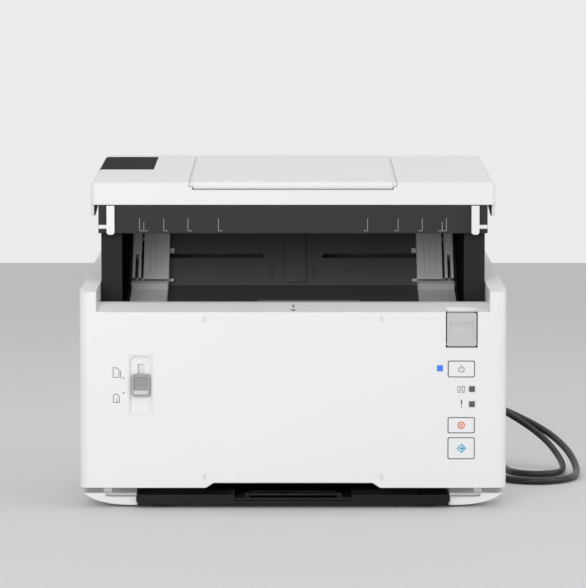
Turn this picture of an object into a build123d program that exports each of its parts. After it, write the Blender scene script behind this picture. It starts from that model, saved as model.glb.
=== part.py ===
from build123d import *
import math
import os

# A sheet-fed desktop document scanner. Millimetres. X is to the right as the
# user sees it, Y runs to the back, Z is up, and the origin is on the table
# under the middle of the body.

# Body
body_width = 296.0
body_depth = 168.0
rim_front_height = 150.0
rim_rear_height = 176.0
rim_width = 12.0
wall = 2.4
seam = 0.4
base_gap = 1.5
case_height = 14.0
corner_radius = 7.0
chin_setback = 4.0

# Front cover
cover_depth = 22.0
cover_face_height = 136.0
bevel_depth = 16.0
bevel_rise = 5.8
scallop_width = 124.0
scallop_height = 3.5
cover_pivot_inset = 6.0
cover_pivot_height = 17.5
hinge_pin_radius = 1.5
hinge_ear_radius = 4.0
hinge_lug_radius = 3.2
hinge_lug_x = 129.0
hinge_lug_width = 6.0
hinge_relief_radius = 7.8
pin_clearance = 0.05

# Controls on the front, as centre X, centre Z, width, height
button_travel = 1.0
button_depth = 5.0
button_gap = 0.4
button_proud = 0.4
control_board_inset = 9.0
power_button_place = (116.4, 96.6, 17.6, 10.4)
stop_button_place = (116.4, 57.6, 17.6, 10.0)
start_button_place = (116.4, 41.6, 17.6, 14.0)
lens_size = 3.8
lens_places = ((101.6, 97.1), (123.8, 82.7), (123.8, 72.2))
lever_place = (116.6, 123.8, 20.4, 23.2)
lever_gap = 0.8
lever_depth = 8.0
lever_pivot_inset = 3.2
lever_pin_radius = 1.0
switch_place = (-105.2, 85.2, 16.6, 41.6)
slider_size = (12.4, 15.4)
switch_recess_depth = 1.6
slider_travel = 10.3
shutter_reach = 15.0

# Output tray
slot_width = 218.0
slot_height = 8.6
slot_length = 150.0
tray_thickness = 5.0
tray_width = 216.0
tray_lip_height = 7.0
tray_gap = 0.4
extension_width = 80.0
extension_thickness = 1.9
extension_length = 120.0
stopper_width = 60.0
stopper_length = 14.0
stopper_pin_radius = 0.7
tray_length = 146.0
main_board_y = 58.0

# Paper path and rollers
path_depth = 28.0
path_gap = 1.0
shaft_radius = 2.5
bush_radius = 4.5
bush_gap = 0.05
feed_roller_radius = 8.0
pinch_roller_radius = 5.5
feed_roller_height = 94.0
exit_roller_height = 44.0
gear_module = 1.0
roller_gear_teeth = 16
idler_gear_teeth = 12
motor_gear_teeth = 10
pick_roller_radius = 10.0
pick_roller_width = 44.0
pick_height = 118.0
pinch_width = 24.0
pinch_shaft_radius = 1.5
roller_gap = 0.3
roller_places = (-76.0, -30.0, 30.0, 76.0)
gear_outer_x = 144.0
pulley_x = 137.8
pulley_width = 3.0
pulley_radius = 6.0
belt_gap = 0.3
belt_thickness = 1.2
frame_top = 134.0
gear_width = 4.0
frame_plate_x = 133.0
frame_plate_thickness = 1.2
sensor_length = 222.0
sensor_height = 18.0
sensor_depth = 15.0
sensor_z = 60.0
glass_thickness = 1.0

# Chute and arms
chute_width = 241.0
chute_wall = 2.5
chute_knee = (6.0, 151.0)
chute_mouth = (-54.5, 120.8)
chute_top = (30.0, 206.0)
arm_inner_x = 121.0
arm_front_y = -49.0
arm_gap = 0.4
deck_front_y = 48.0
chute_rear_y = 46.0
chute_crest = (35.5, 219.0)
guide_slot_height = 21.5
post_radius = 2.0

# Back of the body
rim_lip = 14.0
rear_cover_height = 168.0
vent_count = 12
vent_start_x = -110.0
vent_pitch = 7.0
jack_x = 95.0
usb_x = 115.0
socket_z = 72.0
screw_radius = 1.5
power_lead_radius = 2.75
usb_lead_radius = 2.5
plug_relief_length = 20.0
coil_gap = 0.8
coil_outer_radius = 39.5
screw_places = ((-124.0, 28.0), (124.0, 28.0), (-124.0, 156.0), (124.0, 156.0))

# Top cover
lid_width = 285.0
lid_front_y = -55.0
lid_rear_y = 61.0
lid_front_base = 210.0
lid_front_top = 225.5
lid_rear_top = 248.5
lid_rear_thickness = 17.0
lid_wall = 2.2
lid_edge_radius = 4.0
lid_skirt_drop = 8.0
lid_pivot = (50.0, 229.0)
lid_pin_radius = 2.0
lid_knuckle_radius = 5.0
strip_height = 20.0
strip_thickness = 3.0
lid_panel_width = 146.0
lid_panel_length = 106.0
lid_panel_thickness = 2.6
lip_depth = 4.5
lip_drop = 4.4
inset_thickness = 0.8
inset_panel_width = 41.0
inset_panel_length = 53.0

# Edge guides, with the inside faces as far apart as B5 paper is wide
guide_opening = 182.0
guide_width = 18.5
guide_depth = 8.0
guide_height = 37.0
guide_wall = 2.0
guide_gap = 0.3
rack_pitch_radius = 8.0
rack_setback = 9.4
rack_width = 4.0

half_width = body_width / 2
front_y = -body_depth / 2
rear_y = body_depth / 2
cover_rear_y = front_y + cover_depth
path_y = front_y + path_depth
pivot_y = front_y + cover_pivot_inset
pivot_z = cover_pivot_height
rim_slope = (rim_rear_height - rim_front_height) / body_depth
lid_slope = math.atan2(lid_rear_top - lid_front_top, lid_rear_y - lid_front_y)
roller_y = path_y + roller_gap + feed_roller_radius
pick_y = path_y + roller_gap + pick_roller_radius
separation_y = path_y - roller_gap - pick_roller_radius
shaft_places = ((pick_y, pick_height), (roller_y, feed_roller_height), (roller_y, exit_roller_height))
lever_pivot_y = front_y + lever_pivot_inset
lever_pivot_z = lever_place[1] - lever_place[3] / 2 + 1.6
chute_foot = 150.0
chute_path = [chute_mouth, chute_knee, chute_top, chute_crest,
              (chute_rear_y, chute_crest[1]), (chute_rear_y, chute_foot)]
tray_floor_z = base_gap + 2.4
stopper_y = front_y + 5.0
stopper_z = tray_floor_z + 1.2 + extension_thickness + 1.6
gear_reach = gear_module * (roller_gear_teeth + idler_gear_teeth) / 2
train_angle = math.atan2(pick_height - feed_roller_height, pick_y - roller_y)
train_span = math.hypot(pick_height - feed_roller_height, pick_y - roller_y)
idler_turn = math.acos(train_span / 2 / gear_reach)
idler_y = roller_y + gear_reach * math.cos(train_angle - idler_turn)
idler_z = feed_roller_height + gear_reach * math.sin(train_angle - idler_turn)
motor_reach = gear_module * (roller_gear_teeth + motor_gear_teeth) / 2
motor_angle = math.radians(-22.5)
motor_y = roller_y + motor_reach * math.cos(motor_angle)
motor_z = feed_roller_height + motor_reach * math.sin(motor_angle)
feed_gear_angle = motor_angle
idler_lean = train_angle - idler_turn
feed_phase = (idler_lean - feed_gear_angle) * roller_gear_teeth
idler_gear_angle = idler_lean + math.pi + (math.pi - feed_phase) / idler_gear_teeth
pick_lean = math.atan2(pick_height - idler_z, pick_y - idler_y)
idler_phase = (pick_lean - idler_gear_angle) * idler_gear_teeth
pick_gear_angle = pick_lean + math.pi + (math.pi - idler_phase) / roller_gear_teeth
standing = (Align.CENTER, Align.CENTER, Align.MIN)


def rim_z(y):
    """Height of the side rims at a depth."""
    return rim_front_height + (y - front_y) * rim_slope


def lid_top_z(y):
    """Height of the top cover's upper face at a depth."""
    return lid_front_top + (y - lid_front_y) * math.tan(lid_slope)


def lid_under_z(y):
    """Height of the top cover's lower edge at a depth."""
    rear_base = lid_rear_top - lid_rear_thickness
    return lid_front_base + (y - lid_front_y) * (rear_base - lid_front_base) / (lid_rear_y - lid_front_y)


def block(x0, x1, y0, y1, z0, z1):
    """A box between two corners."""
    middle = Pos((x0 + x1) / 2, (y0 + y1) / 2, (z0 + z1) / 2)
    return middle * Box(abs(x1 - x0), abs(y1 - y0), abs(z1 - z0))


def side_prism(points, x0, x1):
    """A side view of (y, z) points, drawn out from x0 to x1."""
    outline = Plane.YZ * Polygon(*points, align=None)
    return Pos(min(x0, x1), 0, 0) * extrude(outline, amount=abs(x1 - x0), dir=(1, 0, 0))


def front_prism(points, y0, y1):
    """A front view of (x, z) points, drawn back from y0 to y1."""
    outline = Plane.XZ * Polygon(*points, align=None)
    return Pos(0, min(y0, y1), 0) * extrude(outline, amount=abs(y1 - y0), dir=(0, 1, 0))


def rod_x(y, z, radius, x0, x1):
    """A round bar along X."""
    bar = Cylinder(radius, abs(x1 - x0), align=standing)
    return Pos(min(x0, x1), y, z) * Rot(0, 90, 0) * bar


def rod_y(x, z, radius, y0, y1):
    """A round bar along Y."""
    bar = Cylinder(radius, abs(y1 - y0), align=standing)
    return Pos(x, max(y0, y1), z) * Rot(90, 0, 0) * bar


def rod_z(x, y, radius, z0, z1):
    """A round bar along Z."""
    return Pos(x, y, min(z0, z1)) * Cylinder(radius, abs(z1 - z0), align=standing)


def front_cut(place, gap, y0, y1):
    """A box through the front wall at a control's place, wider by a gap all round."""
    x, z, width, height = place
    half_x = width / 2 + gap
    half_z = height / 2 + gap
    return block(x - half_x, x + half_x, y0, y1, z - half_z, z + half_z)


def case_outline(inset):
    """The front view of the lower case, with its swept lower corners."""
    side = half_width - inset
    base = base_gap + inset
    foot = side - 36.0
    edges = Line((-foot, base), (foot, base))
    edges += Bezier((foot, base), (side - 16.0, base), (side - 2.0, base + 5.0), (side, case_height))
    edges += Line((side, case_height), (-side, case_height))
    edges += Bezier((-side, case_height), (-side + 2.0, base + 5.0), (-side + 16.0, base), (-foot, base))
    return Plane.XZ * make_face(edges)


def make_lower_case():
    """Bottom tub with the tray slot, the chin and the cover's hinge lugs."""
    chin_y = front_y + chin_setback
    body = Pos(0, rear_y, 0) * extrude(case_outline(0), amount=body_depth - chin_setback)
    slot_top = base_gap + 2.1 + slot_height
    half_slot = slot_width / 2
    body -= block(-half_slot, half_slot, chin_y - 1, chin_y + slot_length + 4, base_gap + 2.1, slot_top)
    body -= block(-half_slot, half_slot, chin_y - 1, path_y + 8, slot_top - 0.1, case_height + 1)
    body -= rod_x(pivot_y, pivot_z, hinge_relief_radius, -half_width - 1, half_width + 1)
    for side in (-1, 1):
        x0 = side * (half_slot + 3.0)
        x1 = side * (half_width - 12.0)
        body -= block(x0, x1, path_y - 6, rear_y - 6, base_gap + 5.0, case_height + 1)
        lug_x0 = side * hinge_lug_x - hinge_lug_width / 2
        lug_x1 = side * hinge_lug_x + hinge_lug_width / 2
        body += rod_x(pivot_y, pivot_z, hinge_lug_radius, lug_x0, lug_x1)
        body += block(lug_x0, lug_x1, pivot_y + 2.8, pivot_y + 9.0, case_height - 6.0, pivot_z + 2.0)
        body += block(lug_x0, lug_x1, pivot_y, pivot_y + 9.0, pivot_z - 1.0, pivot_z + 2.0)
        body -= rod_x(pivot_y, pivot_z, hinge_pin_radius, lug_x0 - 1, lug_x1 + 1)
    return body


def make_hinge_pins():
    """Two steel pins that the front cover turns on."""
    pins = []
    for side in (-1, 1):
        x0 = side * hinge_lug_x - hinge_lug_width / 2 - 6.0
        x1 = side * hinge_lug_x + hinge_lug_width / 2 + 6.0
        pins.append(rod_x(pivot_y, pivot_z, hinge_pin_radius, x0, x1))
    return Compound(children=pins)


def cover_ears():
    """Hinge ears inside the front cover, either side of each lug."""
    ears = None
    for side in (-1, 1):
        for end in (-1, 1):
            inner = side * hinge_lug_x + end * (hinge_lug_width / 2 + seam)
            outer = inner + end * 5.0
            ear = rod_x(pivot_y, pivot_z, hinge_ear_radius, inner, outer)
            ear += block(inner, outer, front_y + wall - 0.2, pivot_y, case_height, pivot_z + hinge_ear_radius)
            ear -= rod_x(pivot_y, pivot_z, hinge_pin_radius + pin_clearance, inner - 7, inner + 7)
            ears = ear if ears is None else ears + ear
    return ears


def make_front_cover():
    """Full-width front shell with a sloped top rim and raised corners."""
    inner_rear = cover_rear_y
    profile = [(front_y, case_height), (front_y, rim_front_height), (inner_rear, rim_z(inner_rear)),
               (inner_rear, case_height)]
    body = side_prism(profile, -half_width, half_width)
    edges = body.edges().filter_by(Axis.Z).group_by(Axis.Y)[0]
    body = fillet(edges, corner_radius)
    bevel_y = front_y + bevel_depth
    bevel_z = cover_face_height + bevel_rise
    dip = [(front_y - 1, cover_face_height - 0.4), (bevel_y, bevel_z), (inner_rear + 1, bevel_z + 0.6),
           (inner_rear + 1, rim_rear_height), (front_y - 1, rim_rear_height)]
    notch = side_prism(dip, -half_width + rim_width, half_width - rim_width)

    body -= notch
    top_in = cover_face_height - wall - 0.4
    hollow = [(front_y + wall, case_height - 1), (front_y + wall, top_in),
              (bevel_y, bevel_z - wall), (inner_rear + 1, bevel_z - wall + 0.6), (inner_rear + 1, case_height - 1)]
    body -= side_prism(hollow, -half_width + wall, half_width - wall)
    for side in (-1, 1):
        x0 = side * (half_width - wall)
        x1 = side * (half_width - rim_width + wall)
        body -= block(x0, x1, front_y + corner_radius, inner_rear + 1, top_in - 2, rim_front_height - wall)
    scallop = [(-scallop_width / 2, case_height - 1), (-scallop_width / 2 + 7, case_height + scallop_height),
               (scallop_width / 2 - 7, case_height + scallop_height), (scallop_width / 2, case_height - 1)]
    body -= front_prism(scallop, front_y - 1, front_y + wall + 1)
    for place in (power_button_place, stop_button_place, start_button_place):
        body -= front_cut(place, button_gap, front_y - 1, front_y + wall + 1)
    for x, z in lens_places:
        body -= front_cut((x, z, lens_size, lens_size), 0.1, front_y - 1, front_y + wall + 1)
    lever_x, lever_z, lever_w, lever_h = lever_place
    body -= block(lever_x - lever_w / 2 - lever_gap, lever_x + lever_w / 2 + lever_gap, front_y - 1,
                  front_y + lever_depth, lever_z - lever_h / 2 - lever_gap, cover_face_height + bevel_rise)
    body -= front_cut(switch_place, 0.0, front_y - 1, front_y + wall + 1)
    return body + cover_ears()


def make_button(place):
    """A square key with a retaining flange behind the cover's wall."""
    key = front_cut(place, 0.0, front_y - button_proud, front_y + button_depth)
    key = fillet(key.edges().filter_by(Axis.Y), 1.0)
    flange_y = front_y + wall + 0.2
    return key + front_cut(place, 1.2, flange_y, flange_y + 1.2)


def make_lenses():
    """Three clear light pipes from the board to the front face."""
    pipes = []
    for x, z in lens_places:
        pipes.append(front_cut((x, z, lens_size, lens_size), 0.0, front_y - 0.2, front_y + control_board_inset))
    return Compound(children=pipes)


def make_control_board():
    """Small board behind the keys, with one switch for each."""
    board_y = front_y + control_board_inset
    board = block(97.0, 127.4, board_y, board_y + 1.6, 32.0, 104.0)
    for place in (power_button_place, stop_button_place, start_button_place):
        x, z = place[0], place[1]
        board += block(x - 3, x + 3, front_y + button_depth + button_travel + 0.2, board_y, z - 3, z + 3)
    return board


def make_lever():
    """Cover-open lever with a finger hollow and a latch hook behind."""
    x, z, width, height = lever_place
    body = block(x - width / 2, x + width / 2, front_y + 0.3, front_y + lever_depth, z - height / 2, z + height / 2)
    body = fillet(body.edges().filter_by(Axis.Y), 1.2)
    body -= rod_x(front_y - 9.0, z + 2.0, 10.0, x - width / 2 + 2.0, x + width / 2 - 2.0)
    return body - rod_x(lever_pivot_y, lever_pivot_z, lever_pin_radius + pin_clearance, x - width, x + width)


def make_lever_pin():
    """Pin that the lever tips on."""
    x, z, width, height = lever_place
    reach = width / 2 + lever_gap + 3.0
    return rod_x(lever_pivot_y, lever_pivot_z, lever_pin_radius, x - reach, x + reach)


def make_switch_bezel():
    """Rounded dish round the separation switch."""
    x, z, width, height = switch_place
    body = front_cut(switch_place, 0.2, front_y + 0.3, front_y + switch_recess_depth + 1.8)
    dish = front_cut((x, z, width - 2.0, height - 2.0), 0.0, front_y - 1, front_y + switch_recess_depth)
    dish = fillet(dish.edges().filter_by(Axis.Y), 3.0)
    stem_slot = block(x - 2.2, x + 2.2, front_y, front_y + 9, z - 4.0, z + slider_travel + 4.4)
    return body - dish - stem_slot


def make_slider():
    """Ribbed slider with a stem through the dish and a shutter behind it."""
    x, z = switch_place[0], switch_place[1] + 0.2
    width, height = slider_size
    body = block(x - width / 2, x + width / 2, front_y - 1.4, front_y + switch_recess_depth - 0.2,
                 z - height / 2, z + height / 2)
    body = fillet(body.edges().filter_by(Axis.Y), 1.6)
    body -= block(x - width / 2 + 1.6, x + width / 2 - 1.6, front_y - 2, front_y - 0.8, z - 3.0, z + 5.6)
    shutter_y = front_y + switch_recess_depth + 2.0
    body += block(x - 3.4, x + 3.4, shutter_y, shutter_y + 0.7, z - shutter_reach, z + shutter_reach)
    return body + block(x - 1.8, x + 1.8, front_y, front_y + 6.0, z - 3.6, z + 3.6)


def make_front_inner_panel():
    """Front wall of the paper path, with windows for rollers and glass."""
    rear = path_y - path_gap
    body = block(-131.0, 131.0, rear - 3.0, rear, 26.0, 139.0)
    for side in (-1, 1):
        body += block(side * 131.0, side * 128.0, front_y + wall, rear, 30.0, 96.0)
        for x, half in pinch_spans(side):
            for z in (feed_roller_height, exit_roller_height):
                body -= block(x - half, x + half, rear - 4, rear + 1, z - 7.0, z + 7.0)
    body -= block(-sensor_length / 2 - 0.3, sensor_length / 2 + 0.3, rear - 4, rear + 1, sensor_z - 0.3,
                  sensor_z + sensor_height + 0.3)
    half_pick = pick_roller_width / 2 + 1.5
    return body - block(-half_pick, half_pick, rear - 4, rear + 1, pick_height - 11.5, pick_height + 11.5)


def pinch_spans(side):
    """Middle X and half length of the windows over the pinch rollers."""
    return ((side * 30.0, pinch_width / 2 + 1.0), (side * 76.0, pinch_width / 2 + 1.0))


def make_pick_flap():
    """Grey flap at the mouth over the separation roller."""
    rear = path_y - path_gap
    body = block(-24.0, 47.5, rear - 4.0, rear, 139.0, 143.6)
    return fillet(body.edges().filter_by(Axis.X).group_by(Axis.Z)[-1], 1.2)


def make_sensor(front_side):
    """Image sensor bar, either before or behind the paper."""
    half = sensor_length / 2
    near = glass_face(front_side) + (-glass_thickness if front_side else glass_thickness)
    far = near + (-sensor_depth if front_side else sensor_depth)
    return block(-half, half, near, far, sensor_z, sensor_z + sensor_height)


def glass_face(front_side):
    """Depth of the glass face that the paper runs against."""
    return path_y - path_gap if front_side else path_y + path_gap


def make_glass(front_side):
    """Strip of glass over a sensor bar."""
    half = sensor_length / 2
    near = glass_face(front_side)
    far = near + (-glass_thickness if front_side else glass_thickness)
    return block(-half, half, near, far, sensor_z, sensor_z + sensor_height)


def make_sensor_posts():
    """Posts that carry the front sensor bar on the front wall."""
    far = glass_face(True) - glass_thickness - sensor_depth
    posts = []
    for x in (-90.0, 0.0, 90.0):
        posts.append(block(x - 5, x + 5, front_y + wall, far, sensor_z + 3, sensor_z + sensor_height - 3))
    return Compound(children=posts)


def sleeve(x, y, z, radius, bore, width):
    """A roller sleeve round a shaft along X."""
    return rod_x(y, z, radius, x - width / 2, x + width / 2) - rod_x(y, z, bore, x - width, x + width)


def make_pinch_sleeves(z):
    """Four free rollers on one fixed shaft of the front cover."""
    y = path_y - roller_gap - pinch_roller_radius
    bore = pinch_shaft_radius + pin_clearance
    return Compound(children=[sleeve(x, y, z, pinch_roller_radius, bore, pinch_width) for x in roller_places])


def make_pinch_shafts():
    """Fixed shafts of the two rows of pinch rollers."""
    y = path_y - roller_gap - pinch_roller_radius
    heights = (feed_roller_height, exit_roller_height)
    return Compound(children=[rod_x(y, z, pinch_shaft_radius, -128.0, 128.0) for z in heights])


def make_separation_roller():
    """Rubber roller that holds back all sheets but one."""
    return sleeve(0, separation_y, pick_height, pick_roller_radius, shaft_radius + pin_clearance, pick_roller_width)


def make_separation_shaft():
    """Shaft of the separation roller."""
    return rod_x(separation_y, pick_height, shaft_radius, -pick_roller_width / 2 - 7, pick_roller_width / 2 + 7)


def make_separation_holder():
    """Two cheeks on the front wall that carry the separation roller."""
    holder = []
    for side in (-1, 1):
        x0 = side * (pick_roller_width / 2 + 2.0)
        x1 = side * (pick_roller_width / 2 + 7.0)
        cheek = block(x0, x1, front_y + wall, separation_y + 5.0, pick_height - 6, pick_height + 6)
        holder.append(cheek - rod_x(separation_y, pick_height, shaft_radius, x0 - 9, x1 + 9))
    return Compound(children=holder)


def make_shaft(y, z):
    """Driven shaft through both side frames to the gears on the left."""
    return rod_x(y, z, shaft_radius, -gear_outer_x, frame_plate_x + 4.0)


def make_sleeves(y, z):
    """Four rubber sleeves on a driven shaft."""
    bore = shaft_radius + pin_clearance
    return Compound(children=[sleeve(x, y, z, feed_roller_radius, bore, pinch_width) for x in roller_places])


def make_pick_roller():
    """Wide rubber roller that pulls the lowest sheet in."""
    return sleeve(0, pick_y, pick_height, pick_roller_radius, shaft_radius + pin_clearance, pick_roller_width)


def make_gear(y, z, teeth, bore, first_angle):
    """Spur gear along X with one tooth at first_angle, in degrees from +Y towards +Z."""
    pitch = gear_module * teeth / 2
    root = pitch - 1.2 * gear_module
    tip = pitch + 0.7 * gear_module
    pitch_half = 0.34 * math.pi / teeth
    points = []
    for index in range(teeth):
        centre = math.radians(first_angle) + index * 2 * math.pi / teeth
        for radius, half in ((root, -1.5), (tip, -0.55), (tip, 0.55), (root, 1.5)):
            angle = centre + half * pitch_half
            points.append((y + radius * math.cos(angle), z + radius * math.sin(angle)))
    gear = side_prism(points, -gear_outer_x, -gear_outer_x + gear_width)
    return gear - rod_x(y, z, bore, -gear_outer_x - 1, -gear_outer_x + gear_width + 1)


def make_pulley(y, z):
    """Belt pulley beside the left frame."""
    bore = shaft_radius + pin_clearance
    return sleeve(-pulley_x, y, z, pulley_radius, bore, pulley_width)


def make_belt():
    """Closed belt from the feed shaft down to the exit shaft."""
    outer = belt_ring(pulley_radius + belt_gap + belt_thickness, pulley_width - 0.4)
    return outer - belt_ring(pulley_radius + belt_gap, pulley_width + 2.0)


def belt_ring(radius, width):
    """Solid racetrack round the two pulleys."""
    x0 = -pulley_x - width / 2
    x1 = -pulley_x + width / 2
    ring = rod_x(roller_y, feed_roller_height, radius, x0, x1)
    ring += rod_x(roller_y, exit_roller_height, radius, x0, x1)
    return ring + block(x0, x1, roller_y - radius, roller_y + radius, exit_roller_height, feed_roller_height)


def make_side_frame(side):
    """Steel side plate with holes for the shafts' bushes."""
    x0 = side * frame_plate_x
    x1 = side * (frame_plate_x + frame_plate_thickness)
    plate = side_prism([(-51, case_height), (-51, frame_top), (46, frame_top), (60, 90), (60, case_height)], x0, x1)
    for y, z in shaft_places:
        plate -= rod_x(y, z, bush_radius, x0 - 2 * side, x1 + 2 * side)
    for y, z in ((10.0, 40.0), (10.0, 100.0)):
        plate -= rod_x(y, z, 12.0, x0 - 2 * side, x1 + 2 * side)
    return plate


def make_bushes():
    """Plain bushes of the three driven shafts in both frames."""
    bushes = []
    for side in (-1, 1):
        x = side * (frame_plate_x + frame_plate_thickness / 2)
        for y, z in shaft_places:
            bushes.append(sleeve(x, y, z, bush_radius, shaft_radius + bush_gap, 3.6))
    return Compound(children=bushes)


def make_cross_bars():
    """Round bars that tie the side frames together."""
    places = ((-20.0, 32.0), (30.0, 60.0), (36.0, 120.0))
    return Compound(children=[rod_x(y, z, 3.0, -frame_plate_x, frame_plate_x) for y, z in places])


def make_path_plate():
    """Rear wall of the paper path, with windows for rollers and glass."""
    near = path_y + path_gap
    plate = block(-frame_plate_x, frame_plate_x, near, near + 2.0, 30.0, 118.0)
    for x in roller_places:
        for z in (feed_roller_height, exit_roller_height):
            half = pinch_width / 2 + 1.0
            plate -= block(x - half, x + half, near - 1, near + 3, z - 9.0, z + 9.0)
    half = sensor_length / 2 + 0.3
    plate -= block(-half, half, near - 1, near + 3, sensor_z - 0.3, sensor_z + sensor_height + 0.3)
    half_pick = pick_roller_width / 2 + 1.5
    return plate - block(-half_pick, half_pick, near - 1, near + 3, pick_height - 11.5, pick_height + 1)


def make_sensor_shelf():
    """Shelf from the rear sensor bar to the side frames."""
    y0 = glass_face(False) + glass_thickness
    return block(-frame_plate_x, frame_plate_x, y0 + 3.0, y0 + 12.0, sensor_z - 2.0, sensor_z)


def make_motor():
    """Drive motor on the left frame."""
    body = rod_x(motor_y, motor_z, 8.2, -frame_plate_x, -frame_plate_x + 34.0)
    return body - rod_x(motor_y, motor_z, 1.55, -frame_plate_x - 1, -frame_plate_x + 12)


def make_motor_shaft():
    """Motor shaft through the frame to the pinion."""
    return rod_x(motor_y, motor_z, 1.5, -gear_outer_x, -frame_plate_x + 11)


def make_idler_post():
    """Fixed post of the idler gear."""
    return rod_x(idler_y, idler_z, 1.8, -gear_outer_x, -frame_plate_x - frame_plate_thickness)


def offset_path(points, distance):
    """A (y, z) line moved to its right by a distance, with square corners."""
    moved = []
    for index, (y, z) in enumerate(points):
        normals = []
        for first in (index - 1, index):
            if 0 <= first < len(points) - 1:
                step_y = points[first + 1][0] - points[first][0]
                step_z = points[first + 1][1] - points[first][1]
                length = math.hypot(step_y, step_z)
                normals.append((step_z / length, -step_y / length))
        one, two = normals[0], normals[-1]
        share = 1 + one[0] * two[0] + one[1] * two[1]
        moved.append((y + distance * (one[0] + two[0]) / share, z + distance * (one[1] + two[1]) / share))
    return moved


def band(points, near, far, x0, x1):
    """A band between two offsets of a line, drawn out along X."""
    outline = offset_path(points, near) + offset_path(points, far)[::-1]
    return side_prism(outline, x0, x1)


def make_side_cover(side):
    """White side shell whose top is a wide rim that rises to the back."""
    start = cover_rear_y + seam
    outer = [(start, case_height), (start, rim_z(start)), (rear_y, rim_rear_height), (rear_y, case_height)]
    inner_x = half_width - rim_width
    body = side_prism(outer, side * inner_x, side * half_width)
    body = fillet(body.edges().filter_by(Axis.Z).sort_by(Axis.X)[::-side][:2].sort_by(Axis.Y)[-1:], corner_radius)
    lip = rim_lip
    floor = [(start - 1, case_height - 1), (start - 1, rim_z(start) - lip), (rear_y - wall, rim_rear_height - lip),
             (rear_y - wall, case_height - 1)]
    body -= side_prism(floor, side * (inner_x - 1), side * (half_width - wall))
    channel = [(start - 1, case_height - 1), (start - 1, rim_z(start) - wall),
               (rear_y - wall, rim_rear_height - wall), (rear_y - wall, case_height - 1)]
    return body - side_prism(channel, side * (inner_x + wall), side * (half_width - wall))


def make_rear_cover():
    """Back panel with the two sockets' openings and a row of vents."""
    edge = half_width - rim_width - seam
    body = block(-edge, edge, rear_y - wall, rear_y, case_height + seam, rear_cover_height)
    for index in range(vent_count):
        x = vent_start_x + index * vent_pitch
        body -= block(x, x + vent_pitch / 2, rear_y - wall - 1, rear_y + 1, 96.0, 128.0)
    body -= rod_y(jack_x, socket_z, 5.4, rear_y - wall - 1, rear_y + 1)
    body -= block(usb_x - 6.4, usb_x + 6.4, rear_y - wall - 1, rear_y + 1, socket_z - 6.0, socket_z + 6.0)
    for x, z in screw_places:
        body -= rod_y(x, z, screw_radius + pin_clearance, rear_y - wall - 1, rear_y + 1)
    return body


def make_screws():
    """Pan head screws of the back panel."""
    screws = []
    for x, z in screw_places:
        head = rod_y(x, z, 3.0, rear_y, rear_y + 1.4) + rod_y(x, z, screw_radius, rear_y - 8.0, rear_y)
        screws.append(head - block(x - 2.0, x + 2.0, rear_y + 0.8, rear_y + 2, z - 0.4, z + 0.4))
    return Compound(children=screws)


def make_rear_deck():
    """Top panel behind the chute, level with the side rims."""
    edge = half_width - rim_width - seam
    y0 = deck_front_y
    outline = [(y0, rim_z(y0) - 3.6), (y0, rim_z(y0) - 1.2), (rear_y, rim_rear_height - 1.2),
               (rear_y, rear_cover_height), (rear_y - wall, rear_cover_height),
               (rear_y - wall, rim_rear_height - 3.8)]
    return side_prism(outline, -edge, edge)


def make_chute():
    """Dark paper chute: a low slope, a steep back, a crest and a rear wall."""
    half = chute_width / 2
    body = band(chute_path, 0, chute_wall, -half, half)
    window = pick_roller_width / 2 + 1.5
    body -= block(-window, window, path_y - 2, pick_y + 11.0, pick_height - 13, pick_height + 18)
    slot_y, slot_z = chute_point(guide_slot_height)
    for side in (-1, 1):
        body -= block(side * 22.0, side * 117.0, slot_y - 6, slot_y + 10, slot_z - 1.6, slot_z + 1.6)
    body += rod_y(0, slot_z, post_radius, slot_y + 3.4, chute_rear_y - 0.5)
    return body


def chute_point(height):
    """The point on the chute's steep face that far above the knee."""
    share = height / (chute_top[1] - chute_knee[1])
    return (chute_knee[0] + share * (chute_top[0] - chute_knee[0]), chute_knee[1] + height)


def make_chute_rib():
    """Raised rib up the middle of the chute."""
    line = [chute_point(2.0), chute_point(54.0)]
    return band(line, 0, -1.5, -6.0, 9.5)


def make_arm(side):
    """Hollow upright beside the chute that carries the top cover."""
    top_front = lid_under_z(arm_front_y) - arm_gap
    neck_y = lid_pivot[0] - 5.0
    outline = [(arm_front_y, frame_top), (arm_front_y, top_front), (neck_y - 9.0, lid_under_z(neck_y - 9) - arm_gap),
               (neck_y, lid_pivot[1] + 2.0), (neck_y, lid_pivot[1] - 12.0), (neck_y, frame_top)]
    body = side_prism(outline, side * arm_inner_x, side * (half_width - rim_width - arm_gap))
    inside = [(arm_front_y + 3, frame_top - 1), (arm_front_y + 3, top_front - 3.5),
              (neck_y - 12.0, lid_under_z(neck_y - 12) - 4), (neck_y - 12.0, frame_top - 1)]
    body -= side_prism(inside, side * (arm_inner_x + 2.5), side * (half_width - rim_width - arm_gap - 2.5))
    hollow_top = 196.0
    body -= block(side * (arm_inner_x - 1), side * (arm_inner_x + 3), arm_front_y + 3, neck_y - 12.0,
                  frame_top - 1, hollow_top)
    knuckle = rod_x(lid_pivot[0], lid_pivot[1], lid_knuckle_radius, side * arm_inner_x, side * (arm_inner_x + 10))
    body += knuckle + side_prism([(neck_y - 6, 220.0), (neck_y - 6, lid_pivot[1] + 2.5), lid_pivot,
                                  (lid_pivot[0], lid_pivot[1] - 4.5), (neck_y - 1, 219.0)],
                                 side * arm_inner_x, side * (arm_inner_x + 10))
    return body - rod_x(lid_pivot[0], lid_pivot[1], lid_pin_radius, side * 100, side * 160)


def make_lid_pins():
    """Two pins at the rear that the top cover turns on."""
    pins = []
    for side in (-1, 1):
        x0 = side * (arm_inner_x - 7.0)
        pins.append(rod_x(lid_pivot[0], lid_pivot[1], lid_pin_radius, x0, side * (arm_inner_x + 10.0)))
    return Compound(children=pins)


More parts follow.
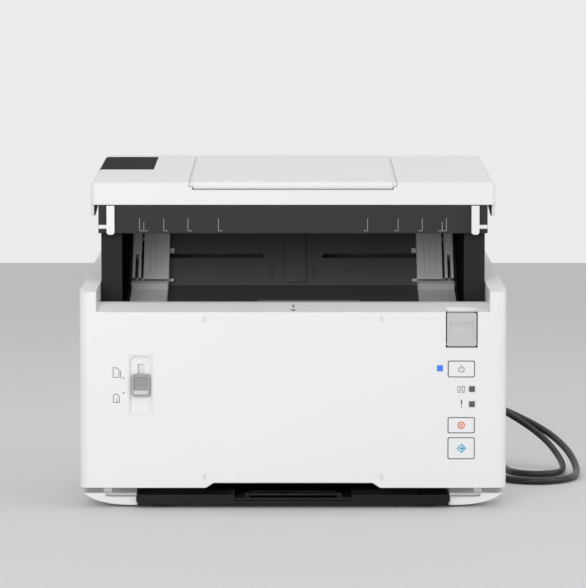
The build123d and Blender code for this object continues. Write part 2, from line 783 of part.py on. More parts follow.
def lid_outer():
    """Outer form of the top cover before it is hollowed."""
    profile = [(lid_front_y, lid_front_base), (lid_front_y, lid_front_top), (lid_rear_y, lid_rear_top),
               (lid_rear_y, lid_rear_top - lid_rear_thickness)]
    body = side_prism(profile, -lid_width / 2, lid_width / 2)
    body = fillet(body.edges().filter_by(Axis.X).group_by(Axis.Z)[-1], lid_edge_radius)
    body = fillet(body.edges().filter_by(Axis.Z).group_by(Axis.Y)[0], lid_edge_radius)
    front_top = body.edges().filter_by(Axis.X).group_by(Axis.Y)[0].sort_by(Axis.Z)[-1]
    return fillet(front_top, lid_edge_radius - 0.5)


def top_slab(drop, rise, y0, y1, x0, x1):
    """A slab along the top cover's upper face."""
    return side_prism([(y0, lid_top_z(y0) - drop), (y0, lid_top_z(y0) + rise),
                       (y1, lid_top_z(y1) + rise), (y1, lid_top_z(y1) - drop)], x0, x1)


def inset_zone(drop):
    """Where the dark panel is let into the top cover's left end."""
    y1 = lid_rear_y - 11.0
    return top_slab(drop, 2.0, y1 - inset_panel_length, y1, -lid_width / 2 - 1, -lid_width / 2 + inset_panel_width)


def make_lid_shell():
    """White top cover: a shallow shell, open below, with skirts and a recess for its extension."""
    half = lid_width / 2
    body = lid_outer()
    drop = lid_panel_thickness + 0.3
    y0 = lid_front_y + lid_wall
    y1 = lid_rear_y - lid_wall
    roof = drop + lid_wall
    inside = [(y0, lid_front_base - 1), (y0, lid_top_z(y0) - roof), (y1, lid_top_z(y1) - roof),
              (y1, lid_rear_top - lid_rear_thickness - 1)]
    body -= side_prism(inside, -half + lid_wall, half - lid_wall)
    for side in (-1, 1):
        skirt = [(lid_front_y + 3, lid_front_base + 2), (lid_front_y + 5, lid_front_base - lid_skirt_drop),
                 (lid_front_y + 17, lid_front_base - lid_skirt_drop + 1.5), (10.0, lid_under_z(10.0) + 1)]
        body += side_prism(skirt, side * (half - lid_wall), side * half)
        x0 = side * (arm_inner_x - 7.0)
        x1 = side * (arm_inner_x - arm_gap)
        ear = rod_x(lid_pivot[0], lid_pivot[1], lid_knuckle_radius, x0, x1)
        ear += block(x0, x1, lid_pivot[0] - 4, lid_pivot[0] + 4, lid_pivot[1], lid_top_z(lid_pivot[0] - 4) - roof + 0.2)
        body += ear - rod_x(lid_pivot[0], lid_pivot[1], lid_pin_radius + pin_clearance, x0 - side * 5, x1 + side * 5)
    panel_half = lid_panel_width / 2 + 0.3
    y_end = lid_front_y + lid_panel_length + 0.3
    body -= top_slab(drop, 5.0, lid_front_y - 3, y_end, -panel_half, panel_half)
    lip_half = panel_half - 2.5
    body -= block(-lip_half, lip_half, lid_front_y - 3, lid_front_y + lip_depth + 0.4, lid_front_top - lip_drop - 0.4,
                  lid_front_top + 9)
    return body - inset_zone(inset_thickness + 0.02)


def make_inset_panel():
    """Dark panel let into the left end of the top cover."""
    return lid_outer() & inset_zone(inset_thickness)


def make_lid_inner():
    """Dark lining of the top cover with the paper-size strip at its front edge."""
    y0 = lid_front_y + 0.4
    y1 = lid_pivot[0] - 12.0
    half = lid_width / 2 - lid_wall - 1.4
    lining = [(y0 + strip_thickness, lid_under_z(y0) + 0.5), (y0 + strip_thickness, lid_under_z(y0) + 2.5),
              (y1, lid_under_z(y1) + 2.5), (y1, lid_under_z(y1) + 0.5)]
    body = side_prism(lining, -half, half)
    strip_half = half_width - rim_width + 1.0
    body += block(-strip_half, strip_half, y0, y0 + strip_thickness, lid_front_base - strip_height, lid_front_base - 0.1)
    body += block(-strip_half, strip_half, y0 + 2.0, y0 + strip_thickness + 2, lid_front_base - 4, lid_front_base + 2.6)
    for side in (-1, 0, 1):
        x = side * 90.0
        body += block(x - 3, x + 3, -30.0, 10.0, lid_under_z(-30) + 2, lid_top_z(-30) - 5.1)
    return body


def make_lid_tab(side):
    """White latch tab on the end of the strip, with an outward peg."""
    near = lid_front_y + 0.4
    body = block(side * 125.5, side * 131.0, near - 3.0, near, lid_front_base - strip_height - 1, lid_front_base - 0.6)
    body = fillet(body.edges().filter_by(Axis.Y).group_by(Axis.Z)[0], 2.0)
    peg_z = lid_front_base - strip_height + 4.5
    return body + rod_x(near - 1.6, peg_z, 1.5, side * 130.5, side * 136.6)


def make_lid_extension():
    """Flat paper support that slides out of the top cover, with a rounded lip."""
    half = lid_panel_width / 2
    y0 = lid_front_y
    y1 = lid_front_y + lid_panel_length
    body = top_slab(lid_panel_thickness, 0.0, y0, y1, -half, half)
    lip = block(-half + 2.5, half - 2.5, y0 - 2.2, y0 + lip_depth, lid_front_top - lip_drop, lid_front_top + 0.9)
    lip = fillet(lip.edges().filter_by(Axis.X), 1.9)
    lip = fillet(lip.edges().filter_by(Axis.Z).group_by(Axis.Y)[0], 1.5)
    notch = block(-5.5, 5.5, y0 + 62, y0 + 64.2, lid_top_z(y0 + 63) - 0.8, lid_top_z(y0 + 63) + 2)
    return body + lip - notch


def make_guide(side):
    """Edge guide: a hollow upper plate, a slim fin and a toothed lower foot."""
    inner = side * guide_opening / 2
    outer = side * (guide_opening / 2 + guide_width)
    face = [chute_point(1.6), chute_point(guide_height)]
    body = band(face, -guide_gap, -guide_depth, inner, outer)
    hollow = [chute_point(1.6 + guide_wall), chute_point(guide_height - guide_wall)]
    body -= band(hollow, 0.5, -guide_depth + guide_wall, inner + side * guide_wall, outer + side)
    foot_line = [chute_slope_point(8.0), chute_slope_point(52.0)]
    foot_outer = side * (guide_opening / 2 + guide_width + 8.0)
    foot = band(foot_line, -guide_gap, -5.0, inner, foot_outer)
    for index in range(4):
        x = inner + side * (4.0 + 6.4 * index)
        foot -= band([chute_slope_point(4.0), chute_slope_point(14.0)], 1.0, -3.0, x, x + side * 2.6)
    fin_x = outer + side * 1.7
    fin_line = [chute_point(1.6), chute_point(guide_height + 1.0)]
    fin = band(fin_line, -guide_gap, -guide_depth - 2.5, fin_x, fin_x + side * 6.3)
    arch = [chute_point(0.0), chute_point(guide_height / 2)]
    fin -= band(arch, 1.0, -guide_depth - 4, fin_x + side * 1.9, fin_x + side * 4.3)
    bridge = band([chute_point(guide_height - 6), chute_point(guide_height - 3)], -guide_gap, -3.0, outer - side, fin_x + side)
    ankle = band([chute_point(1.6), chute_point(4.0)], -guide_gap, -4.0, inner, fin_x + side * 6.3)
    tab_low = band([chute_point(1.6), chute_point(3.4)], -guide_gap, -4.0, inner - side * 3.5, inner + side)
    tab_high = band([chute_point(23.0), chute_point(26.0)], -guide_gap, -3.0, inner - side * 3.5, inner + side)
    heel = band([chute_slope_point(48.0), chute_slope_point(52.0)], -guide_gap, -9.0, inner, foot_outer)
    web_line = [chute_slope_point(49.0), chute_knee, chute_point(3.0)]
    web = band(web_line, -guide_gap, -4.0, inner, inner + side * 3.0)
    return body + web + foot + fin + bridge + ankle + tab_low + tab_high + heel


def chute_slope_point(distance):
    """The point on the chute's low slope that far back along X from its mouth."""
    share = distance / (chute_knee[0] - chute_mouth[0])
    return (chute_mouth[0] + distance, chute_mouth[1] + share * (chute_knee[1] - chute_mouth[1]))


def make_rack(side):
    """Toothed rack of one guide behind the chute, with the stem through its slot."""
    slot_y, slot_z = chute_point(guide_slot_height)
    y0 = slot_y + rack_setback
    y1 = y0 + rack_width
    up = -side
    pitch = math.pi * gear_module
    base = slot_z + up * (rack_pitch_radius + 1.2)
    back = base + up * 3.6
    stem_x = side * (guide_opening / 2 + 6.0)
    far_x = -side * 20.0
    body = block(stem_x - 4, stem_x + 4, slot_y - 6.6, y1, slot_z - 1.2, slot_z + 1.2)
    body += block(stem_x - 4, stem_x + 4, y0, y1, slot_z - up * 1.2, back)
    body += block(stem_x, far_x, y0, y1, base, back)
    tip = slot_z + up * (rack_pitch_radius - 0.8)
    for index in range(-6, 22):
        x = side * (index + 0.5) * pitch
        if min(stem_x, far_x) + 6 < x < max(stem_x, far_x) - 2:
            tooth = [(x - 1.1, base + up * 0.2), (x - 0.35, tip), (x + 0.35, tip), (x + 1.1, base + up * 0.2)]
            body += front_prism(tooth, y0, y1)
    return body


def make_guide_pinion():
    """Small gear that ties the two racks together."""
    slot_y, slot_z = chute_point(guide_slot_height)
    teeth = round(2 * rack_pitch_radius / gear_module)
    points = []
    for index in range(teeth):
        centre = index * 2 * math.pi / teeth
        for radius, half in ((-1.2, -1.5), (0.8, -0.55), (0.8, 0.55), (-1.2, 1.5)):
            angle = centre + half * 0.42 * math.pi / teeth
            reach = rack_pitch_radius + radius * gear_module
            points.append((reach * math.cos(angle), slot_z + reach * math.sin(angle)))
    y1 = slot_y + rack_setback + rack_width
    gear = front_prism(points, y1 - rack_width, y1)
    return gear - rod_y(0, slot_z, post_radius + pin_clearance, y1 - 9, y1 + 3)


def make_tray():
    """Output tray with a front lip and a pocket for its extension."""
    half = tray_width / 2
    floor = tray_floor_z
    body = block(-half, half, front_y + 1.0, front_y + tray_length, floor, floor + tray_thickness)
    body += block(-half, half, front_y, front_y + 3.5, base_gap + 0.6, base_gap + 0.6 + tray_lip_height)
    pocket = extension_width / 2 + tray_gap
    return body - block(-pocket, pocket, front_y - 1, front_y + extension_length + 4, floor + 0.9, floor + 9)


def make_tray_extension():
    """Second stage of the output tray, with two ears for the stopper."""
    half = extension_width / 2
    z0 = tray_floor_z + 1.2
    body = block(-half, half, front_y + 0.2, front_y + extension_length, z0, z0 + extension_thickness)
    for side in (-1, 1):
        x0 = side * (stopper_width / 2 + 0.3)
        body += block(x0, x0 + side * 3.0, stopper_y - 1.8, stopper_y + 1.8, z0, stopper_z + 1.4)
    return body - rod_x(stopper_y, stopper_z, stopper_pin_radius, -half, half)


def make_stopper_pin():
    """Pin of the stopper flap."""
    reach = stopper_width / 2 + 3.3
    return rod_x(stopper_y, stopper_z, stopper_pin_radius, -reach, reach)


def make_stopper():
    """Flap that stands up at the end of the tray and stops the sheets."""
    half = stopper_width / 2
    body = rod_x(stopper_y, stopper_z, 1.3, -half, half)
    body += block(-half, half, stopper_y, stopper_y + stopper_length, stopper_z - 0.9, stopper_z + 0.9)
    return body - rod_x(stopper_y, stopper_z, stopper_pin_radius + pin_clearance, -half - 1, half + 1)


def make_main_board():
    """Main board on edge across the back, with a few parts on it."""
    y0 = main_board_y
    board = block(-70.0, 126.0, y0, y0 + 1.6, case_height, 112.0)
    for x, z, width, height, depth in ((-20, 70, 26, 26, 2.4), (25, 64, 14, 20, 3.0), (-50, 96, 12, 12, 9.0)):
        board += block(x - width / 2, x + width / 2, y0 - depth, y0 + 0.2, z - height / 2, z + height / 2)
    return board


def make_dc_socket():
    """Round power socket on the main board."""
    y0 = main_board_y + 1.6
    body = block(jack_x - 5.5, jack_x + 5.5, y0, rear_y - wall - 0.2, socket_z - 6.5, socket_z + 5.5)
    body += rod_y(jack_x, socket_z, 5.1, y0 + 4, rear_y - 0.4)
    body -= rod_y(jack_x, socket_z, 3.0, rear_y - 11.0, rear_y + 1)
    return body + rod_y(jack_x, socket_z, 0.9, rear_y - 12.0, rear_y - 2.0)


def make_usb_socket():
    """Square USB socket on the main board."""
    y0 = main_board_y + 1.6
    body = block(usb_x - 6.1, usb_x + 6.1, y0, rear_y - 0.4, socket_z - 5.7, socket_z + 5.7)
    body -= block(usb_x - 4.3, usb_x + 4.3, rear_y - 11.0, rear_y + 1, socket_z - 4.0, socket_z + 4.0)
    return body + block(usb_x - 2.8, usb_x + 2.8, rear_y - 12.0, rear_y - 2.0, socket_z - 1.5, socket_z + 1.5)


def make_feet():
    """Four rubber pads under the case."""
    places = [(x, y) for x in (-92.0, 92.0) for y in (front_y + 16.0, rear_y - 14.0)]
    return Compound(children=[rod_z(x, y, 8.0, 0.0, base_gap) for x, y in places])


def make_power_plug():
    """Straight power plug with its tapered strain relief."""
    body = rod_y(jack_x, socket_z, 5.0, rear_y + 0.2, rear_y + 18.0)
    body += rod_y(jack_x, socket_z, 2.75, rear_y - 8.5, rear_y + 0.4)
    body -= rod_y(jack_x, socket_z, 1.2, rear_y - 9.5, rear_y + 1.0)
    relief = Cone(4.2, power_lead_radius + 0.2, plug_relief_length, align=standing)
    return body + Pos(jack_x, rear_y + 18.0, socket_z) * Rot(-90, 0, 0) * relief


def make_usb_plug():
    """Square USB plug with its tapered strain relief."""
    body = block(usb_x - 6.0, usb_x + 6.0, rear_y + 0.4, rear_y + 20.0, socket_z - 5.2, socket_z + 5.2)
    body = fillet(body.edges().filter_by(Axis.Y), 2.0)
    shell = block(usb_x - 4.1, usb_x + 4.1, rear_y - 8.5, rear_y + 1.0, socket_z - 3.8, socket_z + 3.8)
    shell -= block(usb_x - 3.1, usb_x + 3.1, rear_y - 9.5, rear_y - 0.2, socket_z - 2.8, socket_z + 2.8)
    relief = Cone(4.0, usb_lead_radius + 0.2, plug_relief_length, align=standing)
    return body + shell + Pos(usb_x, rear_y + 20.0, socket_z) * Rot(-90, 0, 0) * relief


def lead_tube(points, radius, name):
    """A round lead along straight runs joined by arcs."""
    spots = [Vector(*point) for point in points]
    radii = []
    for before, here, after in zip(spots, spots[1:], spots[2:]):
        turn = math.radians((here - before).get_angle(after - here))
        shorter = min((here - before).length, (after - here).length)
        radii.append(0.45 * shorter / math.tan(turn / 2))
    route = FilletPolyline(*spots, radius=radii)
    section = Plane(origin=route @ 0, z_dir=route % 0) * Circle(radius)
    tube = sweep(section, path=route)
    expected = math.pi * radius * radius * route.length
    print(name, "length", round(route.length, 1), "least radius", round(min(radii), 1),
          "volume share", round(tube.volume / expected, 4))
    return tube


def coil_spot(turn, centre, radius, start_angle, turns, spin):
    """Point of a coil that winds in on the lower layer and out again on the upper one."""
    pitch = 2 * radius + coil_gap
    half_turns = turns / 2
    inward = min(turn, turns - turn)
    reach = coil_outer_radius * radius / power_lead_radius - pitch * inward
    climb_half = 0.25
    if turn < half_turns - climb_half:
        rise = 0.0
    elif turn > half_turns + climb_half:
        rise = 1.0
    else:
        share = (turn - half_turns + climb_half) / (2 * climb_half)
        rise = share * share * (3 - 2 * share)
    angle = math.radians(start_angle) + spin * 2 * math.pi * turn
    return Vector(centre[0] + reach * math.cos(angle), centre[1] + reach * math.sin(angle), radius + rise * pitch)


def coil_tube(centre, radius, start_angle, turns, spin, name):
    """One unbroken tube wound into a flat coil of two layers, on quarter-turn biarcs."""
    steps = round(turns * 4)
    small = 0.001
    spots = []
    for index in range(steps + 1):
        turn = index * turns / steps
        here = coil_spot(turn, centre, radius, start_angle, turns, spin)
        ahead = coil_spot(min(turn + small, turns), centre, radius, start_angle, turns, spin)
        behind = coil_spot(max(turn - small, 0.0), centre, radius, start_angle, turns, spin)
        spots.append((here, (ahead - behind).normalized()))
    edges = []
    for (start, out), (end, back) in zip(spots, spots[1:]):
        chord = end - start
        both = out + back
        square = both.dot(both) - 4
        mixed = chord.dot(both)
        reach = (mixed - math.sqrt(mixed * mixed - square * chord.dot(chord))) / square
        joint = (start + out * reach + end - back * reach) * 0.5
        edges.append(Edge.make_tangent_arc(start, out, joint))
        edges.append(Edge.make_tangent_arc(joint, edges[-1] % 1, end))
    route = Wire(edges)
    section = Plane(origin=spots[0][0], z_dir=spots[0][1]) * Circle(radius)
    tube = sweep(section, path=route)
    dots = [route @ (index / 720) for index in range(721)]
    spacing = route.length / 720
    skip = int(8 * radius / spacing)
    least = min((one - two).length for i, one in enumerate(dots) for two in dots[i + skip:])
    expected = math.pi * radius * radius * route.length
    print(name, "length", round(route.length, 1), "least gap", round(least - 2 * radius, 2),
          "volume share", round(tube.volume / expected, 4))
    return tube


def make_left_frame():
    """Left side frame with the motor's hole and the idler's post."""
    frame = make_side_frame(-1)
    frame -= rod_x(motor_y, motor_z, 2.0, -frame_plate_x + 2, -frame_plate_x - 4)
    return frame + make_idler_post()


def make_lever_bosses():
    """Two bosses behind the front wall that hold the lever's pin."""
    x, width = lever_place[0], lever_place[2]
    bosses = None
    for side in (-1, 1):
        x0 = x + side * (width / 2 + lever_gap)
        boss = block(x0, x0 + side * 3.0, front_y + wall - 0.2, front_y + 6.0, lever_pivot_z - 3, lever_pivot_z + 3)
        bosses = boss if bosses is None else bosses + boss
    return bosses - rod_x(lever_pivot_y, lever_pivot_z, lever_pin_radius, x - width, x + width)


def make_geared_shaft(y, z):
    """Pick shaft with its gear formed on the left end."""
    gear = make_gear(y, z, roller_gear_teeth, shaft_radius, math.degrees(pick_gear_angle))
    return make_shaft(y, z) + gear


def make_feed_gear():
    """Gear and belt pulley in one moulding on the feed shaft."""
    bore = shaft_radius + pin_clearance
    gear = make_gear(roller_y, feed_roller_height, roller_gear_teeth, bore, math.degrees(feed_gear_angle))
    hub = sleeve(-(gear_outer_x - gear_width + pulley_x) / 2, roller_y, feed_roller_height, pulley_radius - 1, bore,
                 gear_outer_x - gear_width - pulley_x + 2)
    return gear + make_pulley(roller_y, feed_roller_height) + hub


def make_exit_roller():
    """Exit shaft with its four rollers and its pulley in one piece."""
    shaft = rod_x(roller_y, exit_roller_height, shaft_radius, -pulley_x - 2.0, frame_plate_x + 4.0)
    for x in roller_places:
        shaft += rod_x(roller_y, exit_roller_height, feed_roller_radius, x - pinch_width / 2, x + pinch_width / 2)
    return shaft + rod_x(roller_y, exit_roller_height, pulley_radius, -pulley_x - pulley_width / 2,
                         -pulley_x + pulley_width / 2)


def make_idler_gear():
    """Idler between the feed gear and the pick gear."""
    return make_gear(idler_y, idler_z, idler_gear_teeth, 1.8 + pin_clearance, math.degrees(idler_gear_angle))


def make_motor_pinion():
    """Motor shaft with its pinion."""
    angle = motor_angle + math.pi + math.pi / motor_gear_teeth
    pinion = make_gear(motor_y, motor_z, motor_gear_teeth, 1.5, math.degrees(angle))
    return pinion + make_motor_shaft()


def grouped(*pieces):
    """Separate solids in one node."""
    solids = []
    for piece in pieces:
        solids += list(piece.solids())
    return Compound(children=solids)


def make_mains_adapter():
    """Adapter on the far end of the power lead, with two round pins."""
    x, y, z = power_coil_end
    body = block(x - 94.0, x - 26.0, y - 22.0, y + 6.0, 0.0, 26.0)
    body = fillet(body.edges(), 2.0)
    relief = Cone(3.3, power_lead_radius + 0.2, 25.9, align=standing)
    body += Pos(x - 26.2, y, z) * Rot(0, 90, 0) * relief
    for offset in (-9.5, 9.5):
        body += rod_x(y - 8.0 + offset, 13.0, 2.0, x - 112.0, x - 93.0)
    return body


def make_usb_far_plug():
    """Flat USB plug on the far end of its lead, lying on its edge."""
    x, y, z = usb_coil_end
    body = block(x - 4.0, x + 4.0, y - 38.0, y - 20.0, 0.0, 2 * z)
    body = fillet(body.edges().filter_by(Axis.Y), 1.6)
    body += block(x - 2.25, x + 2.25, y - 50.0, y - 37.0, z - 6.0, z + 6.0)
    relief = Cone(3.0, usb_lead_radius + 0.1, 19.9, align=standing)
    return body + Pos(x, y - 20.2, z) * Rot(-90, 0, 0) * relief


power_coil_centre = (30.0, 150.0)
usb_coil_centre = (128.0, 165.0)
power_coil_turns = 6
power_coil_end = (power_coil_centre[0], power_coil_centre[1] - coil_outer_radius,
                  3 * power_lead_radius + coil_gap)
usb_coil_reach = coil_outer_radius * usb_lead_radius / power_lead_radius
usb_coil_turns = 5.5
usb_coil_end = (usb_coil_centre[0] - usb_coil_reach, usb_coil_centre[1], 3 * usb_lead_radius + coil_gap)

power_route = [
    (95.0, 122.0, 72.0), (95.0, 141.0, 72.0), (105.0, 159.0, 67.0), (128.0, 169.0, 59.0),
    (156.0, 169.0, 49.5), (182.0, 160.0, 39.0), (204.0, 142.0, 28.5), (217.0, 118.0, 17.5),
    (221.0, 94.0, 8.5), (219.5, 74.0, 3.6), (214.0, 55.0, 2.75), (203.0, 39.0, 2.75),
    (186.0, 30.0, 2.75), (169.0, 35.5, 2.75), (158.5, 50.0, 2.75), (155.5, 68.0, 2.75),
    (154.0, 84.0, 2.75), (147.5, 98.0, 2.75), (134.0, 106.0, 2.75), (117.0, 107.5, 2.75),
    (98.0, 106.0, 2.75), (76.0, 107.5, 2.75), (53.0, 110.5, 2.75),
    (power_coil_centre[0], power_coil_centre[1] - coil_outer_radius, 2.75)]

usb_route = [
    (115.0, 124.0, 72.0), (115.0, 140.0, 72.0), (122.0, 153.0, 67.0), (137.0, 160.0, 60.0),
    (156.0, 160.0, 51.0), (175.0, 154.0, 41.0), (190.0, 145.0, 32.0), (203.0, 131.0, 22.0),
    (211.0, 113.0, 11.0), (212.5, 95.0, 4.0), (206.0, 79.0, 2.5), (190.5, 72.0, 2.5),
    (175.0, 78.0, 2.5), (168.5, 94.0, 2.5), (168.0, 112.0, 2.5), (166.0, 130.0, 2.5),
    (164.2, 148.0, 2.5), (usb_coil_centre[0] + usb_coil_reach, usb_coil_centre[1], 2.5)]

makers = {
    "lower_case": make_lower_case,
    "hinge_pins": lambda: grouped(make_hinge_pins(), make_lid_pins()),
    "rubber_feet": make_feet,
    "side_covers": lambda: grouped(make_side_cover(-1), make_side_cover(1)),
    "rear_cover": lambda: make_rear_cover() + make_rear_deck(),
    "screws": make_screws,
    "feed_chute": lambda: make_chute() + make_chute_rib(),
    "side_arms": lambda: grouped(make_arm(-1), make_arm(1)),
    "side_frames": lambda: grouped(make_left_frame(), make_side_frame(1)),
    "cross_members": lambda: grouped(make_cross_bars(), make_sensor_shelf()),
    "shaft_bushes": make_bushes,
    "path_plate": make_path_plate,
    "rear_sensor": lambda: grouped(make_sensor(False), make_glass(False)),
    "drive_motor": make_motor,
    "drive_belt": make_belt,
    "main_board": make_main_board,
    "rear_sockets": lambda: grouped(make_dc_socket(), make_usb_socket()),
    "front_cover": lambda: make_front_cover() + make_switch_bezel() + make_lever_bosses() - make_lever_pin(),
    "front_inner_panel": make_front_inner_panel,
    "pick_flap": make_pick_flap,
    "front_sensor": lambda: grouped(make_sensor(True), make_glass(True)),
    "front_brackets": lambda: grouped(make_separation_holder(), make_sensor_posts()),
    "front_shafts": lambda: grouped(make_pinch_shafts(), make_separation_shaft(), make_lever_pin()),
    "control_board": make_control_board,
    "indicator_lenses": make_lenses,
    "switch_slider": make_slider,
    "cover_lever": make_lever,
    "power_button": lambda: make_button(power_button_place),
    "stop_button": lambda: make_button(stop_button_place),
    "start_button": lambda: make_button(start_button_place),
    "upper_pinch_rollers": lambda: make_pinch_sleeves(feed_roller_height),
    "lower_pinch_rollers": lambda: make_pinch_sleeves(exit_roller_height),
    "separation_roller": make_separation_roller,
    "pick_shaft": lambda: make_geared_shaft(pick_y, pick_height),
    "pick_roller": make_pick_roller,
    "feed_shaft": lambda: make_shaft(roller_y, feed_roller_height),
    "feed_rollers": lambda: make_sleeves(roller_y, feed_roller_height),
    "feed_gear": make_feed_gear,
    "exit_roller": make_exit_roller,
    "idler_gear": make_idler_gear,
    "motor_pinion": make_motor_pinion,
    "lid_shell": make_lid_shell,
    "lid_inner": make_lid_inner,
    "lid_tabs": lambda: grouped(make_lid_tab(-1), make_lid_tab(1)),
    "inset_panel": make_inset_panel,
    "lid_extension": make_lid_extension,
    "guide_left": lambda: make_guide(-1) + make_rack(-1),
    "guide_right": lambda: make_guide(1) + make_rack(1),
    "guide_pinion": make_guide_pinion,
    "output_tray": make_tray,
    "tray_extension": lambda: make_tray_extension() + make_stopper_pin(),
    "stopper": make_stopper,
    "power_plug": make_power_plug,
    "power_lead": lambda: lead_tube(power_route, power_lead_radius, "power lead"),
    "power_lead_coil": lambda: coil_tube(power_coil_centre, power_lead_radius, -90.0, power_coil_turns, -1,
                                         "power coil"),
    "mains_adapter": make_mains_adapter,
    "usb_plug": make_usb_plug,
    "usb_lead": lambda: lead_tube(usb_route, usb_lead_radius, "usb lead"),
    "usb_lead_coil": lambda: coil_tube(usb_coil_centre, usb_lead_radius, 0.0, usb_coil_turns, 1, "usb coil"),
    "usb_far_plug": make_usb_far_plug,
}

os.makedirs("parts", exist_ok=True)
for node, maker in makers.items():
    export_step(maker(), "parts/" + node + ".step")
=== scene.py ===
import math

import bmesh
import bpy
from mathutils import Matrix, Vector


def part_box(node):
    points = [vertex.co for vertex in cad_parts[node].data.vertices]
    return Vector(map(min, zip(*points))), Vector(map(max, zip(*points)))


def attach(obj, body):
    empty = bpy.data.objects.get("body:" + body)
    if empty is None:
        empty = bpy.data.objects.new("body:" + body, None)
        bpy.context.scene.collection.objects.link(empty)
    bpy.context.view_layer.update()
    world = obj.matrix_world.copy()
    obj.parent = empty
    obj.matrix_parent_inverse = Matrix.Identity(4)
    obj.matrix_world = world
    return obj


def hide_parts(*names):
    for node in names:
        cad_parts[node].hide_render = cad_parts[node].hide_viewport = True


bl_info = {
    "name": "Desktop document scanner",
    "version": (1, 0, 0),
    "blender": (4, 5, 0),
    "location": "3D View > Sidebar > Scanner",
    "description": "Finishes and small details of a sheet-fed scanner, round its CAD solids",
    "category": "Object",
}

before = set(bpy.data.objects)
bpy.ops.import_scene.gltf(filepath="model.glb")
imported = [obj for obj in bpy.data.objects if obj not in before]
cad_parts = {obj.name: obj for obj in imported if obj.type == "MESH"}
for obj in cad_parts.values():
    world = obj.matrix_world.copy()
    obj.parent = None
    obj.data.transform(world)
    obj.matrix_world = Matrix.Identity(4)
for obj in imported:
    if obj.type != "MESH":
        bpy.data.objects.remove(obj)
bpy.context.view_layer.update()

MM = 0.001
FRONT_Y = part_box("front_cover")[0].y / MM

CAMERA_SPOT = (0.0, -1.4487, 0.2081)
CAMERA_AIM = (0.0, -0.084, 0.1485)
LAMP_AIM = (0, 0, 0.12)
BACKGROUND_LEVEL = 0.84
FLOOR_HALF = 6.0

COIL_STEPS = 16
COIL_GAP = 0.0008
COIL_REACH = 0.0395
COIL_REACH_LEAD = 0.0055

SINK = -0.05
LINE_HEIGHT = 0.05
ROLLER_STEPS = 40


def colour_property(name, description, default):
    """A colour that the user can change."""
    return bpy.props.FloatVectorProperty(name=name, description=description, subtype="COLOR", size=3,
                                         min=0, max=1, default=default)


def length_property(name, description, low, high, default):
    """A length that the user can change, in metres."""
    return bpy.props.FloatProperty(name=name, description=description, unit="LENGTH", min=low, max=high,
                                   default=default)


class ScannerColours(bpy.types.PropertyGroup):
    """Colours of the scanner's mouldings."""

    case: colour_property("Body", "White of the body and covers", (0.81, 0.812, 0.815))
    chute: colour_property("Chute", "Dark grey of the feeder", (0.058, 0.058, 0.060))
    guide: colour_property("Edge guides", "Mid grey of the guides", (0.52, 0.525, 0.53))
    lever: colour_property("Lever", "Light grey of the cover lever", (0.53, 0.535, 0.54))
    tray: colour_property("Tray", "Black of the output tray", (0.004, 0.004, 0.0045))
    jacket: colour_property("Leads", "Black of the leads and plugs", (0.013, 0.013, 0.014))
    mark: colour_property("Symbols", "Grey of the printed symbols", (0.16, 0.16, 0.17))
    ready: colour_property("Ready light", "Blue of the lit indicator", (0.02, 0.115, 0.68))


class ScannerSizes(bpy.types.PropertyGroup):
    """Sizes of the leads and of the finishing details."""

    power_lead: length_property("Power lead", "Diameter of the power lead", 0.003, 0.009, 0.0055)
    usb_lead: length_property("USB lead", "Diameter of the USB lead", 0.003, 0.009, 0.005)
    mark_height: length_property("Print height", "How far printed marks stand up", 0.00002, 0.0003, 0.00008)
    rounding: length_property("Edge rounding", "Radius that softens moulded edges", 0.0, 0.002, 0.0006)


class ScannerStage(bpy.types.PropertyGroup):
    """Camera, lamps and floor."""

    focal: bpy.props.FloatProperty(name="Focal length", description="Lens of the camera in millimetres",
                                   min=20, max=300, default=121.6)
    floor: colour_property("Floor", "Colour of the floor", (0.70, 0.70, 0.71))
    lamp: bpy.props.FloatProperty(name="Lamp", description="Strength of the main lamp", subtype="POWER",
                                  min=0, max=200, default=14.5)
    sky: bpy.props.FloatProperty(name="Surrounding light", description="Strength of the even light",
                                 min=0, max=2, default=0.62)


def colours():
    """The chosen colours."""
    return bpy.context.scene.scanner_colours


def sizes():
    """The chosen sizes."""
    return bpy.context.scene.scanner_sizes


def grain_group():
    """Shader group: the fine height of a textured mould."""
    group = bpy.data.node_groups.get("Mould grain")
    if group:
        return group
    group = bpy.data.node_groups.new("Mould grain", "ShaderNodeTree")
    for name, way, kind in (("Scale", "INPUT", "Float"), ("Stretch", "INPUT", "Vector"),
                            ("Height", "OUTPUT", "Float")):
        group.interface.new_socket(name, in_out=way, socket_type="NodeSocket" + kind)
    nodes, links = group.nodes, group.links
    source, sink = nodes.new("NodeGroupInput"), nodes.new("NodeGroupOutput")
    place, mapping = nodes.new("ShaderNodeTexCoord"), nodes.new("ShaderNodeMapping")
    fine, coarse = nodes.new("ShaderNodeTexNoise"), nodes.new("ShaderNodeTexVoronoi")
    total = nodes.new("ShaderNodeMath")
    total.operation = "MULTIPLY_ADD"
    total.inputs[1].default_value = 0.6
    fine.inputs["Detail"].default_value = 3
    links.new(place.outputs["Object"], mapping.inputs["Vector"])
    links.new(source.outputs["Stretch"], mapping.inputs["Scale"])
    for texture in (fine, coarse):
        links.new(mapping.outputs[0], texture.inputs["Vector"])
        links.new(source.outputs["Scale"], texture.inputs["Scale"])
    links.new(coarse.outputs["Distance"], total.inputs[0])
    links.new(fine.outputs[0], total.inputs[2])
    links.new(total.outputs[0], sink.inputs["Height"])
    return group


